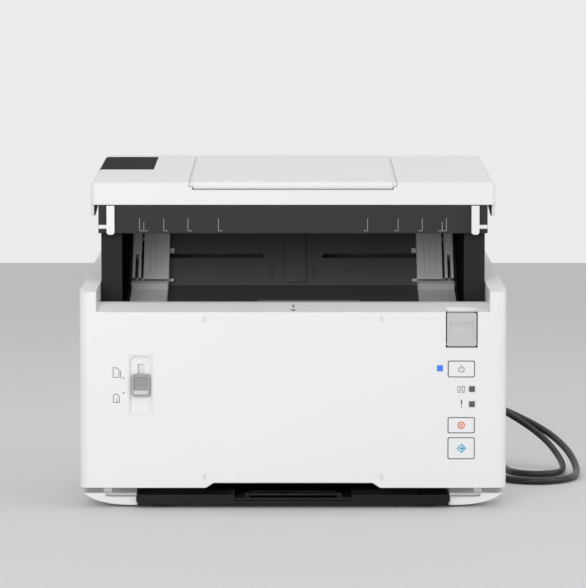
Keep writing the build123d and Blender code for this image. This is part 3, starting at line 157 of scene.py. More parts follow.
def handling_group():
    """Shader group: slight change of colour and roughness over a handled surface."""
    group = bpy.data.node_groups.get("Handled surface")
    if group:
        return group
    group = bpy.data.node_groups.new("Handled surface", "ShaderNodeTree")
    for name, way, kind in (("Colour", "INPUT", "Color"), ("Worn colour", "INPUT", "Color"),
                            ("Roughness", "INPUT", "Float"), ("Spread", "INPUT", "Float"),
                            ("Scale", "INPUT", "Float"), ("Colour", "OUTPUT", "Color"),
                            ("Roughness", "OUTPUT", "Float")):
        group.interface.new_socket(name, in_out=way, socket_type="NodeSocket" + kind)
    nodes, links = group.nodes, group.links
    source, sink = nodes.new("NodeGroupInput"), nodes.new("NodeGroupOutput")
    place, cloud = nodes.new("ShaderNodeTexCoord"), nodes.new("ShaderNodeTexNoise")
    blend, spread = nodes.new("ShaderNodeMix"), nodes.new("ShaderNodeMath")
    smear = nodes.new("ShaderNodeTexNoise")
    smear.inputs["Detail"].default_value = 5
    blend.data_type = "RGBA"
    spread.operation = "MULTIPLY_ADD"
    cloud.inputs["Detail"].default_value = 4
    scale_up = nodes.new("ShaderNodeMath")
    scale_up.operation = "MULTIPLY"
    scale_up.inputs[1].default_value = 4.3
    links.new(source.outputs["Scale"], scale_up.inputs[0])
    links.new(scale_up.outputs[0], smear.inputs["Scale"])
    links.new(place.outputs["Object"], cloud.inputs["Vector"])
    links.new(place.outputs["Object"], smear.inputs["Vector"])
    links.new(source.outputs["Scale"], cloud.inputs["Scale"])
    links.new(cloud.outputs[0], blend.inputs["Factor"])
    links.new(source.outputs["Colour"], blend.inputs["A"])
    links.new(source.outputs["Worn colour"], blend.inputs["B"])
    links.new(smear.outputs[0], spread.inputs[0])
    links.new(source.outputs["Spread"], spread.inputs[1])
    links.new(source.outputs["Roughness"], spread.inputs[2])
    links.new(blend.outputs["Result"], sink.inputs["Colour"])
    links.new(spread.outputs[0], sink.inputs["Roughness"])
    return group


def surface(name, colour, rough, spread=0.1, shade=0.93, cloud=14.0, grain=900.0, depth=0.05,
            stretch=(1, 1, 1), metallic=0.0, coat=0.0, round_edges=True, sheen=0.0, specular=0.5):
    """A material from the two shared groups, with its own values."""
    material = bpy.data.materials.new(name)
    material.use_nodes = True
    nodes, links = material.node_tree.nodes, material.node_tree.links
    shader = nodes["Principled BSDF"]
    handled, grained = nodes.new("ShaderNodeGroup"), nodes.new("ShaderNodeGroup")
    handled.node_tree, grained.node_tree = handling_group(), grain_group()
    handled.inputs["Colour"].default_value = (*colour, 1)
    handled.inputs["Worn colour"].default_value = (*[c * shade for c in colour], 1)
    handled.inputs["Roughness"].default_value = rough
    handled.inputs["Spread"].default_value = spread
    handled.inputs["Scale"].default_value = cloud
    grained.inputs["Scale"].default_value = grain
    grained.inputs["Stretch"].default_value = stretch
    bump = nodes.new("ShaderNodeBump")
    bump.inputs["Strength"].default_value = depth
    bump.inputs["Distance"].default_value = 0.0004
    links.new(grained.outputs["Height"], bump.inputs["Height"])
    if round_edges:
        rounded = nodes.new("ShaderNodeBevel")
        rounded.samples = 6
        rounded.inputs["Radius"].default_value = sizes().rounding
        links.new(rounded.outputs[0], bump.inputs["Normal"])
    links.new(bump.outputs[0], shader.inputs["Normal"])
    links.new(handled.outputs["Colour"], shader.inputs["Base Color"])
    links.new(handled.outputs["Roughness"], shader.inputs["Roughness"])
    shader.inputs["Metallic"].default_value = metallic
    shader.inputs["Coat Weight"].default_value = coat
    shader.inputs["Sheen Weight"].default_value = sheen
    shader.inputs["Specular IOR Level"].default_value = specular
    return material


def lit_lens(name, colour, strength):
    """A small lit lens whose glow is brighter in small random patches."""
    material = surface(name, colour, 0.22, grain=1400, depth=0.02, coat=0.4)
    nodes, links = material.node_tree.nodes, material.node_tree.links
    shader = nodes["Principled BSDF"]
    glow, cloud = nodes.new("ShaderNodeMix"), nodes.new("ShaderNodeTexNoise")
    place = nodes.new("ShaderNodeTexCoord")
    glow.data_type = "RGBA"
    glow.inputs["A"].default_value = (*colour, 1)
    glow.inputs["B"].default_value = (*[min(1.0, c * 1.6 + 0.03) for c in colour], 1)
    cloud.inputs["Scale"].default_value = 400
    links.new(place.outputs["Object"], cloud.inputs["Vector"])
    links.new(cloud.outputs[0], glow.inputs["Factor"])
    links.new(glow.outputs["Result"], shader.inputs["Emission Color"])
    shader.inputs["Emission Strength"].default_value = strength
    return material


def smoked_lens(name):
    """Clear plastic of the light pipes, with a faint cloud in it."""
    material = surface(name, (0.62, 0.66, 0.7), 0.12, spread=0.06, shade=0.85, grain=600, depth=0.02)
    material.node_tree.nodes["Principled BSDF"].inputs["Transmission Weight"].default_value = 0.55
    return material


def make_finishes():
    """Every finish of the scanner, by name."""
    c = colours()
    steel = (0.56, 0.57, 0.58)
    return {
        "body white": surface("Body white", c.case, 0.36, shade=0.975, grain=1500, depth=0.035),
        "cover white": surface("Cover white", c.case, 0.33, shade=0.98, grain=1700, depth=0.03),
        "lid white": surface("Lid white", c.case, 0.38, shade=0.97, grain=1300, depth=0.05),
        "key white": surface("Key white", c.case, 0.28, shade=0.98, grain=2200, depth=0.02, coat=0.1),
        "chute dark": surface("Chute dark", c.chute, 0.50, spread=0.14, shade=0.8, grain=1100, depth=0.12),
        # Side arms and front brackets: the chute's dark plastic taken down to a quarter. Part of this
        # darkness is painted shade, for fronts that the main lamp lights directly.
        "arm dark and painted shade": surface("Arm dark and painted shade", tuple(v * 0.25 for v in c.chute), 0.58, spread=0.1, shade=0.85,
                            grain=1300, depth=0.08, specular=0.22),
        "strip dark": surface("Strip dark", tuple(v * 0.4 for v in c.chute), 0.55, spread=0.1, shade=0.9,
                              grain=1300, depth=0.07, specular=0.3),
        "inset dark": surface("Inset dark", (0.014, 0.014, 0.014), 0.7, shade=0.85, grain=1900, depth=0.05,
                              specular=0.12),
        "guide grey": surface("Guide grey", c.guide, 0.34, shade=0.9, grain=1500, depth=0.05, coat=0.1),
        "flap grey": surface("Flap grey", (0.045, 0.046, 0.048), 0.42, shade=0.85, grain=1500, depth=0.06),
        "lever grey": surface("Lever grey", c.lever, 0.33, shade=0.95, grain=1900, depth=0.03, coat=0.1),
        "slider grey": surface("Slider grey", (0.36, 0.363, 0.37), 0.4, shade=0.9, grain=1800, depth=0.05),
        "slider pale": surface("Slider pale", (0.62, 0.63, 0.64), 0.4, shade=0.95, grain=1800, depth=0.03),
        "tray gloss": surface("Tray gloss", c.tray, 0.26, spread=0.1, shade=0.7, grain=1400, depth=0.008,
                              specular=0.25),
        "seam dark": surface("Seam dark", (0.11, 0.112, 0.115), 0.6, grain=900, depth=0.03,
                             round_edges=False),
        "seam pale": surface("Seam pale", (0.56, 0.565, 0.57), 0.5, grain=900, depth=0.03,
                             round_edges=False),
        # Painted shade: a mid grey that stands in for the shaded recess between the front cover's bottom edge
        # and the chin.
        "chin painted shade": surface("Chin painted shade", (0.50, 0.505, 0.51), 0.42, shade=0.94, grain=1300, depth=0.05),
        "print grey": surface("Print grey", c.mark, 0.55, shade=0.8, grain=3000, depth=0.1,
                              round_edges=False),
        "print pale": surface("Print pale", (0.27, 0.27, 0.275), 0.55, shade=0.8, grain=3000, depth=0.1,
                              round_edges=False),
        "stop orange": surface("Stop orange", (0.78, 0.17, 0.09), 0.4, shade=0.85, grain=2600, depth=0.05,
                               round_edges=False),
        "start blue": surface("Start blue", (0.02, 0.36, 0.58), 0.4, shade=0.85, grain=2600, depth=0.05,
                              round_edges=False),
        "frame steel": surface("Frame steel", steel, 0.34, spread=0.2, shade=0.86, cloud=22, grain=260,
                               depth=0.07, stretch=(1, 1, 14), metallic=1.0),
        "shaft steel": surface("Shaft steel", steel, 0.2, spread=0.16, shade=0.9, cloud=30, grain=420,
                               depth=0.05, stretch=(9, 1, 1), metallic=1.0),
        "screw steel": surface("Screw steel", (0.2, 0.2, 0.205), 0.36, spread=0.2, shade=0.8, grain=900,
                               depth=0.05, metallic=1.0),
        "copper": surface("Copper", (0.7, 0.34, 0.18), 0.34, spread=0.18, shade=0.8, grain=900, depth=0.06,
                          metallic=1.0),
        "roller rubber": surface("Roller rubber", (0.1, 0.1, 0.105), 0.72, spread=0.14, shade=0.8, grain=420,
                                 depth=0.25, stretch=(1, 5, 5), sheen=0.15),
        "foot rubber": surface("Foot rubber", (0.035, 0.035, 0.036), 0.8, shade=0.7, grain=700, depth=0.25),
        "belt rubber": surface("Belt rubber", (0.02, 0.02, 0.02), 0.75, shade=0.7, grain=800, depth=0.3),
        "gear acetal": surface("Gear acetal", (0.76, 0.75, 0.70), 0.4, shade=0.93, grain=1000, depth=0.06),
        "bush brown": surface("Bush brown", (0.19, 0.12, 0.07), 0.5, shade=0.75, grain=1400, depth=0.15),
        "board green": surface("Board green", (0.015, 0.13, 0.05), 0.34, spread=0.16, shade=0.7, cloud=45,
                               grain=350, depth=0.09, coat=0.3),
        "chip black": surface("Chip black", (0.022, 0.022, 0.024), 0.55, shade=0.75, grain=1600, depth=0.12),
        "socket black": surface("Socket black", (0.02, 0.02, 0.021), 0.42, shade=0.8, grain=1500, depth=0.1),
        "sensor black": surface("Sensor black", (0.018, 0.018, 0.02), 0.38, shade=0.8, grain=1200,
                                depth=0.08),
        "glass": surface("Sensor glass", (0.03, 0.045, 0.045), 0.06, spread=0.05, shade=0.8, grain=120,
                         depth=0.01, coat=1.0),
        "lens clear": smoked_lens("Lens clear"),
        "ready light": lit_lens("Ready light", c.ready, 0.5),
        "off light": surface("Off light", (0.09, 0.09, 0.095), 0.26, shade=0.8, grain=1500, depth=0.03,
                             coat=0.4),
        "lead jacket": surface("Lead jacket", c.jacket, 0.36, spread=0.12, shade=0.75, cloud=30, grain=500,
                               depth=0.06, coat=0.1, round_edges=False),
        "plug black": surface("Plug black", c.jacket, 0.46, shade=0.75, grain=1300, depth=0.14),
        "tie black": surface("Tie black", (0.03, 0.03, 0.03), 0.6, shade=0.7, grain=900, depth=0.3,
                             stretch=(6, 1, 1)),
    }


NODES_BY_FINISH = {
    "body white": ("lower_case", "side_covers", "rear_cover"),
    "cover white": ("front_cover",),
    "lid white": ("lid_shell", "lid_extension"),
    "key white": ("lid_tabs", "power_button", "stop_button", "start_button"),
    "chute dark": ("feed_chute", "path_plate", "front_inner_panel"),
    "arm dark and painted shade": ("side_arms", "front_brackets"),
    "strip dark": ("lid_inner",),
    "inset dark": ("inset_panel",),
    "guide grey": ("guide_left", "guide_right"),
    "flap grey": ("pick_flap",),
    "lever grey": ("cover_lever",),
    "slider grey": ("switch_slider",),
    "tray gloss": ("output_tray", "tray_extension", "stopper"),
    "foot rubber": ("rubber_feet",),
    "frame steel": ("side_frames", "cross_members", "drive_motor"),
    "shaft steel": ("hinge_pins", "front_shafts", "pick_shaft", "feed_shaft"),
    "screw steel": ("screws",),
    "bush brown": ("shaft_bushes",),
    "belt rubber": ("drive_belt",),
    "board green": ("main_board", "control_board"),
    "socket black": ("rear_sockets",),
    "sensor black": ("rear_sensor", "front_sensor"),
    "lens clear": ("indicator_lenses",),
    "roller rubber": ("upper_pinch_rollers", "lower_pinch_rollers", "separation_roller", "pick_roller",
                      "feed_rollers", "exit_roller"),
    "gear acetal": ("feed_gear", "idler_gear", "motor_pinion", "guide_pinion"),
    "plug black": ("power_plug", "mains_adapter", "usb_plug", "usb_far_plug"),
    "lead jacket": ("power_lead", "power_lead_coil", "usb_lead", "usb_lead_coil"),
}
NODE_FINISHES = {node: finish for finish, nodes in NODES_BY_FINISH.items() for node in nodes}

finishes = {}


def finish_of(name):
    """A finish by its name, made on first use."""
    if not finishes:
        finishes.update(make_finishes())
    return finishes[name]


def keep_piece(shape, name, body, finish):
    """Turns a bmesh into a finished piece that rides on a body."""
    bmesh.ops.recalc_face_normals(shape, faces=shape.faces)
    mesh = bpy.data.meshes.new(name)
    shape.to_mesh(mesh)
    shape.free()
    mesh.materials.append(finish_of(finish))
    piece = bpy.data.objects.new(name, mesh)
    bpy.context.scene.collection.objects.link(piece)
    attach(piece, body)
    return piece


def face_place(origin, right, up):
    """Matrix that puts millimetres on a face, given its origin and its two directions."""
    right, up = Vector(right).normalized(), Vector(up).normalized()
    out = right.cross(up)
    turn = Matrix((right, up, out)).transposed().to_4x4()
    return Matrix.Translation(Vector(origin) * MM) @ turn @ Matrix.Scale(MM, 4)


def front_place(y, x=0, z=0):
    """Matrix that puts millimetres on an upright face that looks to the front."""
    return face_place((x, y, z), (1, 0, 0), (0, 0, 1))


def corners_of(node):
    """A node's lowest and highest corners at rest, in millimetres."""
    return tuple(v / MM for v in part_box(node))


def mark_high():
    """How far a printed mark stands up, in millimetres."""
    return sizes().mark_height / MM


def raise_faces(shape, faces, place, low, high):
    """Gives flat faces a thickness from low to high above the face they lie on."""
    out = (place.to_3x3() @ Vector((0, 0, 1))).normalized()
    flat = list({v for f in faces for v in f.verts})
    bmesh.ops.translate(shape, vec=out * low * MM, verts=flat)
    made = bmesh.ops.extrude_face_region(shape, geom=faces)
    lifted = [g for g in made["geom"] if isinstance(g, bmesh.types.BMVert)]
    bmesh.ops.translate(shape, vec=out * (high - low) * MM, verts=lifted)


def outline(shape, points, place, low=SINK, high=0.08):
    """A raised flat shape from its outline in millimetres."""
    face = shape.faces.new([shape.verts.new(place @ Vector((u, v, 0))) for u, v in points])
    raise_faces(shape, [face], place, low, high)


def frame_line(shape, points, width, place, low=SINK, high=0.08):
    """A raised line round a shape's outline."""
    face = shape.faces.new([shape.verts.new(place @ Vector((u, v, 0))) for u, v in points])
    face.normal_update()
    made = bmesh.ops.inset_individual(shape, faces=[face], thickness=width * MM, use_even_offset=True)
    bmesh.ops.delete(shape, geom=[face], context="FACES_ONLY")
    raise_faces(shape, made["faces"], place, low, high)


def stroke(a, b, width):
    """Outline of a straight line of a width."""
    a, b = Vector(a), Vector(b)
    side = Vector((a.y - b.y, b.x - a.x)).normalized() * width / 2
    return [a - side, b - side, b + side, a + side]


def box_outline(x, z, width, height):
    """Outline of a rectangle about its middle."""
    return [(x - width / 2, z - height / 2), (x + width / 2, z - height / 2),
            (x + width / 2, z + height / 2), (x - width / 2, z + height / 2)]


def round_outline(x, z, width, height, radius, steps=5):
    """Outline of a rectangle with round corners."""
    points = []
    corners = ((1, 1, 0), (-1, 1, 90), (-1, -1, 180), (1, -1, 270))
    for across, upward, first in corners:
        cx, cz = x + across * (width / 2 - radius), z + upward * (height / 2 - radius)
        for step in range(steps + 1):
            angle = math.radians(first + 90 * step / steps)
            points.append((cx + radius * math.cos(angle), cz + radius * math.sin(angle)))
    return points


def arc_outline(x, z, inner, outer, first, last, steps=20):
    """Outline of a part of a ring."""
    angles = [math.radians(first + (last - first) * i / steps) for i in range(steps + 1)]
    far = [(x + outer * math.cos(a), z + outer * math.sin(a)) for a in angles]
    near = [(x + inner * math.cos(a), z + inner * math.sin(a)) for a in reversed(angles)]
    return far + near


def bevel_edges(shape, edges, width):
    """Softens edges with a bevel of a width in millimetres."""
    bmesh.ops.bevel(shape, geom=edges, offset=width * MM, affect="EDGES", segments=2, profile=0.5,
                    material=-1)


def add_block(shape, low, high, bevel=0.0):
    """A block between two corners in millimetres, with its edges bevelled."""
    low, high = Vector(low), Vector(high)
    size, middle = high - low, (high + low) / 2
    place = Matrix.Translation(middle * MM) @ Matrix.Diagonal((*(size * MM), 1))
    made = bmesh.ops.create_cube(shape, size=1, matrix=place)
    if bevel:
        edges = list({e for v in made["verts"] for e in v.link_edges})
        bevel_edges(shape, edges, bevel)


def add_ring(shape, centre, axis, outline_points, segments=32):
    """Spins an outline of (radius, along) points about an axis."""
    axis = Vector(axis).normalized()
    side = axis.orthogonal().normalized()
    centre = Vector(centre) * MM
    verts = [shape.verts.new(centre + (side * r + axis * a) * MM) for r, a in outline_points]
    edges = [shape.edges.new((one, two)) for one, two in zip(verts, verts[1:] + verts[:1])]
    bmesh.ops.spin(shape, geom=verts + edges, cent=centre, axis=axis, angle=math.tau, steps=segments,
                   use_merge=True)


def add_rod(shape, centre, axis, radius, length, segments=28, bevel=0.0):
    """A round bar about its middle."""
    turn = Vector((0, 0, 1)).rotation_difference(Vector(axis)).to_matrix().to_4x4()
    place = Matrix.Translation(Vector(centre) * MM) @ turn
    made = bmesh.ops.create_cone(shape, cap_ends=True, segments=segments, radius1=radius * MM,
                                 radius2=radius * MM, depth=length * MM, matrix=place)
    if bevel:
        rims = [e for e in {e for v in made["verts"] for e in v.link_edges}
                if any(len(f.verts) > 4 for f in e.link_faces)]
        bevel_edges(shape, rims, bevel)


FRONT_FACE = front_place(FRONT_Y)
CHUTE_WALL = face_place((0, 6.0, 151.0), (1, 0, 0), (0, 24.0, 55.0))


class SCANNER_OT_stage(bpy.types.Operator):
    """Camera at the photograph's angle, soft lamps and a pale floor."""

    bl_idname = "scanner.stage"
    bl_label = "Stage"

    def execute(self, context):
        stage = context.scene.scanner_stage
        data = bpy.data.cameras.new("Camera")
        data.lens, data.sensor_width, data.sensor_fit = stage.focal, 36, "HORIZONTAL"
        camera = bpy.data.objects.new("Camera", data)
        camera.location = CAMERA_SPOT
        aim = Vector(CAMERA_AIM) - camera.location
        camera.rotation_mode = "QUATERNION"
        camera.rotation_quaternion = aim.to_track_quat("-Z", "Y")
        context.scene.collection.objects.link(camera)
        context.scene.camera = camera
        for name, spot, size, power in (("Main lamp", (-0.6, -1.8, 0.6), 1.2, stage.lamp),
                                        ("Side lamp", (1.5, -0.7, 0.7), 1.1, stage.lamp * 0.4),
                                        ("Top lamp", (0.1, 0.5, 1.7), 1.4, stage.lamp * 0.2)):
            lamp = bpy.data.lights.new(name, "AREA")
            lamp.energy, lamp.size = power, size
            holder = bpy.data.objects.new(name, lamp)
            holder.location = spot
            holder.rotation_mode = "QUATERNION"
            holder.rotation_quaternion = (Vector(LAMP_AIM) - Vector(spot)).to_track_quat("-Z", "Y")
            context.scene.collection.objects.link(holder)
        self.surroundings(context, stage)
        shape = bmesh.new()
        bmesh.ops.create_grid(shape, x_segments=2, y_segments=2, size=FLOOR_HALF)
        mesh = bpy.data.meshes.new("Floor")
        shape.to_mesh(mesh)
        shape.free()
        floor = bpy.data.objects.new("Floor", mesh)
        context.scene.collection.objects.link(floor)
        mesh.materials.append(surface("Floor paint", tuple(stage.floor), 0.55, shade=0.99, cloud=3, grain=60,
                                      depth=0.01, round_edges=False))
        context.scene.view_settings.view_transform = "Standard"
        return {"FINISHED"}

    def surroundings(self, context, stage):
        """Even light from all round, and a paler colour where the camera or a gloss looks at it."""
        world = bpy.data.worlds.new("Surroundings")
        context.scene.world = world
        world.use_nodes = True
        nodes, links = world.node_tree.nodes, world.node_tree.links
        back = nodes["Background"]
        ray, pick = nodes.new("ShaderNodeLightPath"), nodes.new("ShaderNodeMath")
        level = nodes.new("ShaderNodeMapRange")
        pick.operation = "MAXIMUM"
        links.new(ray.outputs["Is Camera Ray"], pick.inputs[0])
        links.new(ray.outputs["Is Glossy Ray"], pick.inputs[1])
        links.new(pick.outputs[0], level.inputs["Value"])
        level.inputs["To Min"].default_value = stage.sky
        level.inputs["To Max"].default_value = BACKGROUND_LEVEL
        links.new(level.outputs[0], back.inputs["Strength"])
        back.inputs["Color"].default_value = (0.985, 0.99, 1.0, 1)


def coil_points(centre, diameter, turns, start, spin):
    """Control points of a put-away coil: in on the lower layer, out on the upper one."""
    pitch = diameter + COIL_GAP
    count = round(turns * COIL_STEPS)
    points = []
    for index in range(count + 1):
        turn = turns * index / count
        reach = COIL_REACH * diameter / COIL_REACH_LEAD - pitch * min(turn, turns - turn)
        share = min(1.0, max(0.0, (turn - turns / 2 + 0.25) / 0.5))
        angle = math.radians(start) + spin * math.tau * turn
        points.append((centre[0] + reach * math.cos(angle), centre[1] + reach * math.sin(angle),
                       diameter / 2 + share * share * (3 - 2 * share) * pitch))
    return points


def lead_curve(name, points, diameter):
    """A round lead as one smooth spline that its control points pull."""
    curve = bpy.data.curves.new(name, "CURVE")
    curve.dimensions = "3D"
    curve.bevel_depth = diameter / 2
    curve.bevel_resolution = 4
    curve.use_fill_caps = True
    spline = curve.splines.new("NURBS")
    spline.points.add(len(points) - 1)
    for point, spot in zip(spline.points, points):
        point.co = (*spot, 1)
    spline.order_u = 3
    spline.use_endpoint_u = True
    spline.resolution_u = 6
    lead = bpy.data.objects.new(name, curve)
    bpy.context.scene.collection.objects.link(lead)
    curve.materials.append(finish_of("lead jacket"))
    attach(lead, "base")
    return lead


class SCANNER_OT_leads(bpy.types.Operator):
    """Power lead and USB lead, each with its free length wound into a coil behind the body."""

    bl_idname = "scanner.leads"
    bl_label = "Leads"

    def execute(self, context):
        power = [(0.095, 0.122, 0.072), (0.095, 0.141, 0.072), (0.105, 0.159, 0.067),
                 (0.128, 0.169, 0.059), (0.156, 0.169, 0.0495), (0.182, 0.160, 0.039),
                 (0.204, 0.142, 0.0285), (0.217, 0.118, 0.0175), (0.221, 0.094, 0.0085),
                 (0.2195, 0.074, 0.0036), (0.214, 0.055, 0.00275), (0.203, 0.039, 0.00275),
                 (0.186, 0.030, 0.00275), (0.169, 0.0355, 0.00275), (0.1585, 0.050, 0.00275),
                 (0.1555, 0.068, 0.00275), (0.154, 0.084, 0.00275), (0.1475, 0.098, 0.00275),
                 (0.134, 0.106, 0.00275), (0.117, 0.1075, 0.00275), (0.098, 0.106, 0.00275),
                 (0.076, 0.1075, 0.00275), (0.053, 0.1105, 0.00275)]
        usb = [(0.115, 0.124, 0.072), (0.115, 0.140, 0.072), (0.122, 0.153, 0.067),
               (0.137, 0.160, 0.060), (0.156, 0.160, 0.051), (0.175, 0.154, 0.041),
               (0.190, 0.145, 0.032), (0.203, 0.131, 0.022), (0.211, 0.113, 0.011),
               (0.2125, 0.095, 0.004), (0.206, 0.079, 0.0025), (0.1905, 0.072, 0.0025),
               (0.175, 0.078, 0.0025), (0.1685, 0.094, 0.0025), (0.168, 0.112, 0.0025),
               (0.166, 0.130, 0.0025), (0.1642, 0.148, 0.0025)]
        size = sizes()
        power += coil_points((0.030, 0.150), size.power_lead, 6.0, -90.0, -1)
        usb += coil_points((0.128, 0.165), size.usb_lead, 5.5, 0.0, 1)
        lead = lead_curve("power_flex", power, size.power_lead)
        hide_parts("power_lead", "power_lead_coil")
        lead = lead_curve("usb_flex", usb, size.usb_lead)
        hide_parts("usb_lead", "usb_lead_coil")
        return {"FINISHED"}


class SCANNER_OT_finishes(bpy.types.Operator):
    """Gives each carried-over CAD node its own finish."""

    bl_idname = "scanner.finishes"
    bl_label = "Finishes"

    def execute(self, context):
        for node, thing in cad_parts.items():
            material = finish_of(NODE_FINISHES[node])
            thing.data.materials.clear()
            thing.data.materials.append(material)
        return {"FINISHED"}


class SCANNER_OT_keys(bpy.types.Operator):
    """Generic symbols on the three keys: power, stop and start."""

    bl_idname = "scanner.keys"
    bl_label = "Key symbols"

    def execute(self, context):
        high = mark_high()
        shape = bmesh.new()
        for node in ("power_button", "stop_button", "start_button"):
            low, top = corners_of(node)
            frame_line(shape, round_outline((low.x + top.x) / 2, (low.z + top.z) / 2, top.x - low.x - 1.1,
                                            top.z - low.z - 1.1, 1.5), 0.4, FRONT_FACE, high=LINE_HEIGHT)
        keep_piece(shape, "key_surrounds", "scanner_cover", "print grey")
        for name, node, body, finish in (("power_symbol", "power_button", "power_key", "print grey"),
                                         ("stop_symbol", "stop_button", "stop_key", "stop orange"),
                                         ("start_symbol", "start_button", "start_key", "start blue")):
            low, top = corners_of(node)
            x, z = (low.x + top.x) / 2, (low.z + top.z) / 2
            place = front_place(low.y, x, z)
            shape = bmesh.new()
            if node == "power_button":
                outline(shape, arc_outline(0, -0.2, 1.65, 2.15, 120, 420), place, high=high)
                outline(shape, stroke((0, -0.1), (0, 2.7), 0.5), place, high=high)
            elif node == "stop_button":
                turns = [math.radians(22.5 + 45 * i) for i in range(8)]
                ring = [(2.75 * math.cos(turn), 2.75 * math.sin(turn)) for turn in turns]
                frame_line(shape, ring, 0.75, place, high=high)
                outline(shape, stroke((-1.1, -1.1), (1.1, 1.1), 0.55), place, high=high)
                outline(shape, stroke((-1.1, 1.1), (1.1, -1.1), 0.55), place, high=high * 1.4)
            else:
                frame_line(shape, [(0.2, -3.3), (3.5, 0), (0.2, 3.3), (-3.1, 0)], 0.75, place, high=high)
                outline(shape, [(-0.9, -0.55), (0.3, -0.55), (0.3, -1.5), (2.0, 0), (0.3, 1.5), (0.3, 0.55),
                                (-0.9, 0.55)], place, high=high)
            keep_piece(shape, name, body, finish)
        return {"FINISHED"}


class SCANNER_OT_indicators(bpy.types.Operator):
    """Lens faces and the small symbols beside them."""

    bl_idname = "scanner.indicators"
    bl_label = "Indicators"

    def execute(self, context):
        high = mark_high()
        lens_place = front_place(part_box("indicator_lenses")[0].y / MM)
        for name, x, z, finish in (("ready_light", 101.6, 97.1, "ready light"),
                                   ("sheets_light", 123.8, 82.7, "off light"),
                                   ("fault_light", 123.8, 72.2, "off light")):
            shape = bmesh.new()
            outline(shape, round_outline(x, z, 3.7, 3.7, 0.3), lens_place, low=-0.1, high=0.12)
            keep_piece(shape, name, "scanner_cover", finish)
        shape = bmesh.new()
        for x, z in ((114.9, 82.9), (117.9, 82.9)):
            frame_line(shape, box_outline(x, z, 2.2, 3.6), 0.4, FRONT_FACE, high=high)
            outline(shape, stroke((x - 1.1, z - 2.6), (x + 1.1, z - 2.6), 0.4), FRONT_FACE, high=high)
        outline(shape, [(116.2, 71.9), (117.0, 71.9), (117.15, 75.2), (116.05, 75.2)], FRONT_FACE, high=high)
        outline(shape, box_outline(116.6, 70.4, 0.95, 0.95), FRONT_FACE, high=high)
        keep_piece(shape, "indicator_symbols", "scanner_cover", "print grey")
        return {"FINISHED"}


class SCANNER_OT_switch(bpy.types.Operator):
    """Ribs and light bar of the separation switch, and the page symbols beside it."""

    bl_idname = "scanner.switch"
    bl_label = "Separation switch"

    def execute(self, context):
        low, top = corners_of("switch_slider")
        x, z = (low.x + top.x) / 2, (low.z + top.z) / 2
        shape = bmesh.new()
        for index in range(4):
            level = z - 0.6 + 1.7 * index
            add_block(shape, (x - 4.3, low.y + 0.1, level - 0.35), (x + 4.3, low.y + 0.8, level + 0.35), 0.15)
        keep_piece(shape, "slider_ribs", "separation_switch", "slider grey")
        shape = bmesh.new()
        add_block(shape, (x - 5.2, low.y - 0.1, z - 6.4), (x + 5.2, low.y + 0.3, z - 3.6), 0.3)
        keep_piece(shape, "slider_bar", "separation_switch", "slider pale")
        shape = bmesh.new()
        add_block(shape, (x - 2.15, FRONT_Y + 3.45, z - 14.8), (x + 2.15, FRONT_Y + 3.65, z + 14.8))
        keep_piece(shape, "slot_shutter", "separation_switch", "cover white")
        high = mark_high()
        shape = bmesh.new()
        frame_line(shape, [(-124.6, 90.6), (-120.1, 90.6), (-120.1, 96.0), (-122.0, 97.7), (-124.6, 97.7)],
                   0.45, FRONT_FACE, high=high)
        outline(shape, stroke((-119.2, 90.2), (-119.2, 95.6), 0.45), FRONT_FACE, high=high)
        frame_line(shape, [(-124.4, 73.2), (-119.9, 73.2), (-119.9, 77.4), (-122.0, 79.9), (-124.4, 78.6)],
                   0.45, FRONT_FACE, high=high)
        outline(shape, stroke((-121.7, 73.4), (-121.7, 76.4), 0.4), FRONT_FACE, high=high)
        for level in (90.3, 80.0):
            outline(shape, round_outline(-117.2, level, 1.1, 1.1, 0.54), FRONT_FACE, high=high)
        keep_piece(shape, "page_symbols", "scanner_cover", "print grey")
        return {"FINISHED"}


class SCANNER_OT_front_trim(bpy.types.Operator):
    """Ticks of the front cover, seams of the chin with grey patches of painted shade beside them, and the
    centre mark on the cover's rim.
    """

    bl_idname = "scanner.front_trim"
    bl_label = "Front trim"

    def execute(self, context):
        shape = bmesh.new()
        for side in (-1, 1):
            for level in (131.0, 21.5):
                for x in (60.5, 61.9):
                    outline(shape, box_outline(side * x, level, 0.5, 4.4), FRONT_FACE, high=LINE_HEIGHT)
        keep_piece(shape, "cover_ticks", "scanner_cover", "seam pale")
        chin = front_place(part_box("lower_case")[0].y / MM)
        shape = bmesh.new()
        for side in (-1, 1):
            joint = [(side * 130.2, 9.6), (side * 129.0, 8.0), (side * 110.0, 8.0)]
            for a, b in zip(joint, joint[1:]):
                outline(shape, stroke(a, b, 0.45), chin, high=0.06 + 0.03 * (a[1] > 9))
        keep_piece(shape, "chin_seams", "base", "seam dark")
        # Grey patches of painted shade beside the chin seams. They stand in for the recess under the front
        # cover's bottom corners.
        shape = bmesh.new()
        for side in (-1, 1):
            outline(shape, [(side * x, z) for x, z in ((108.6, 8.25), (128.8, 8.25), (129.9, 9.7),
                                                       (108.6, 9.7))], chin, high=0.04)
        keep_piece(shape, "chin_painted_shade", "base", "chin painted shade")
        high = mark_high()
        rim = face_place((0, FRONT_Y, 135.96), (1, 0, 0), (0, 17.0, 6.2))
        shape = bmesh.new()
        outline(shape, stroke((0.2, 7.3), (0.2, 13.8), 0.9), rim, low=-0.2, high=high)
        outline(shape, [(-2.1, 4.6), (0.2, 1.6), (2.5, 4.6)], rim, low=-0.2, high=high)
        keep_piece(shape, "centre_mark", "scanner_cover", "print grey")
        return {"FINISHED"}


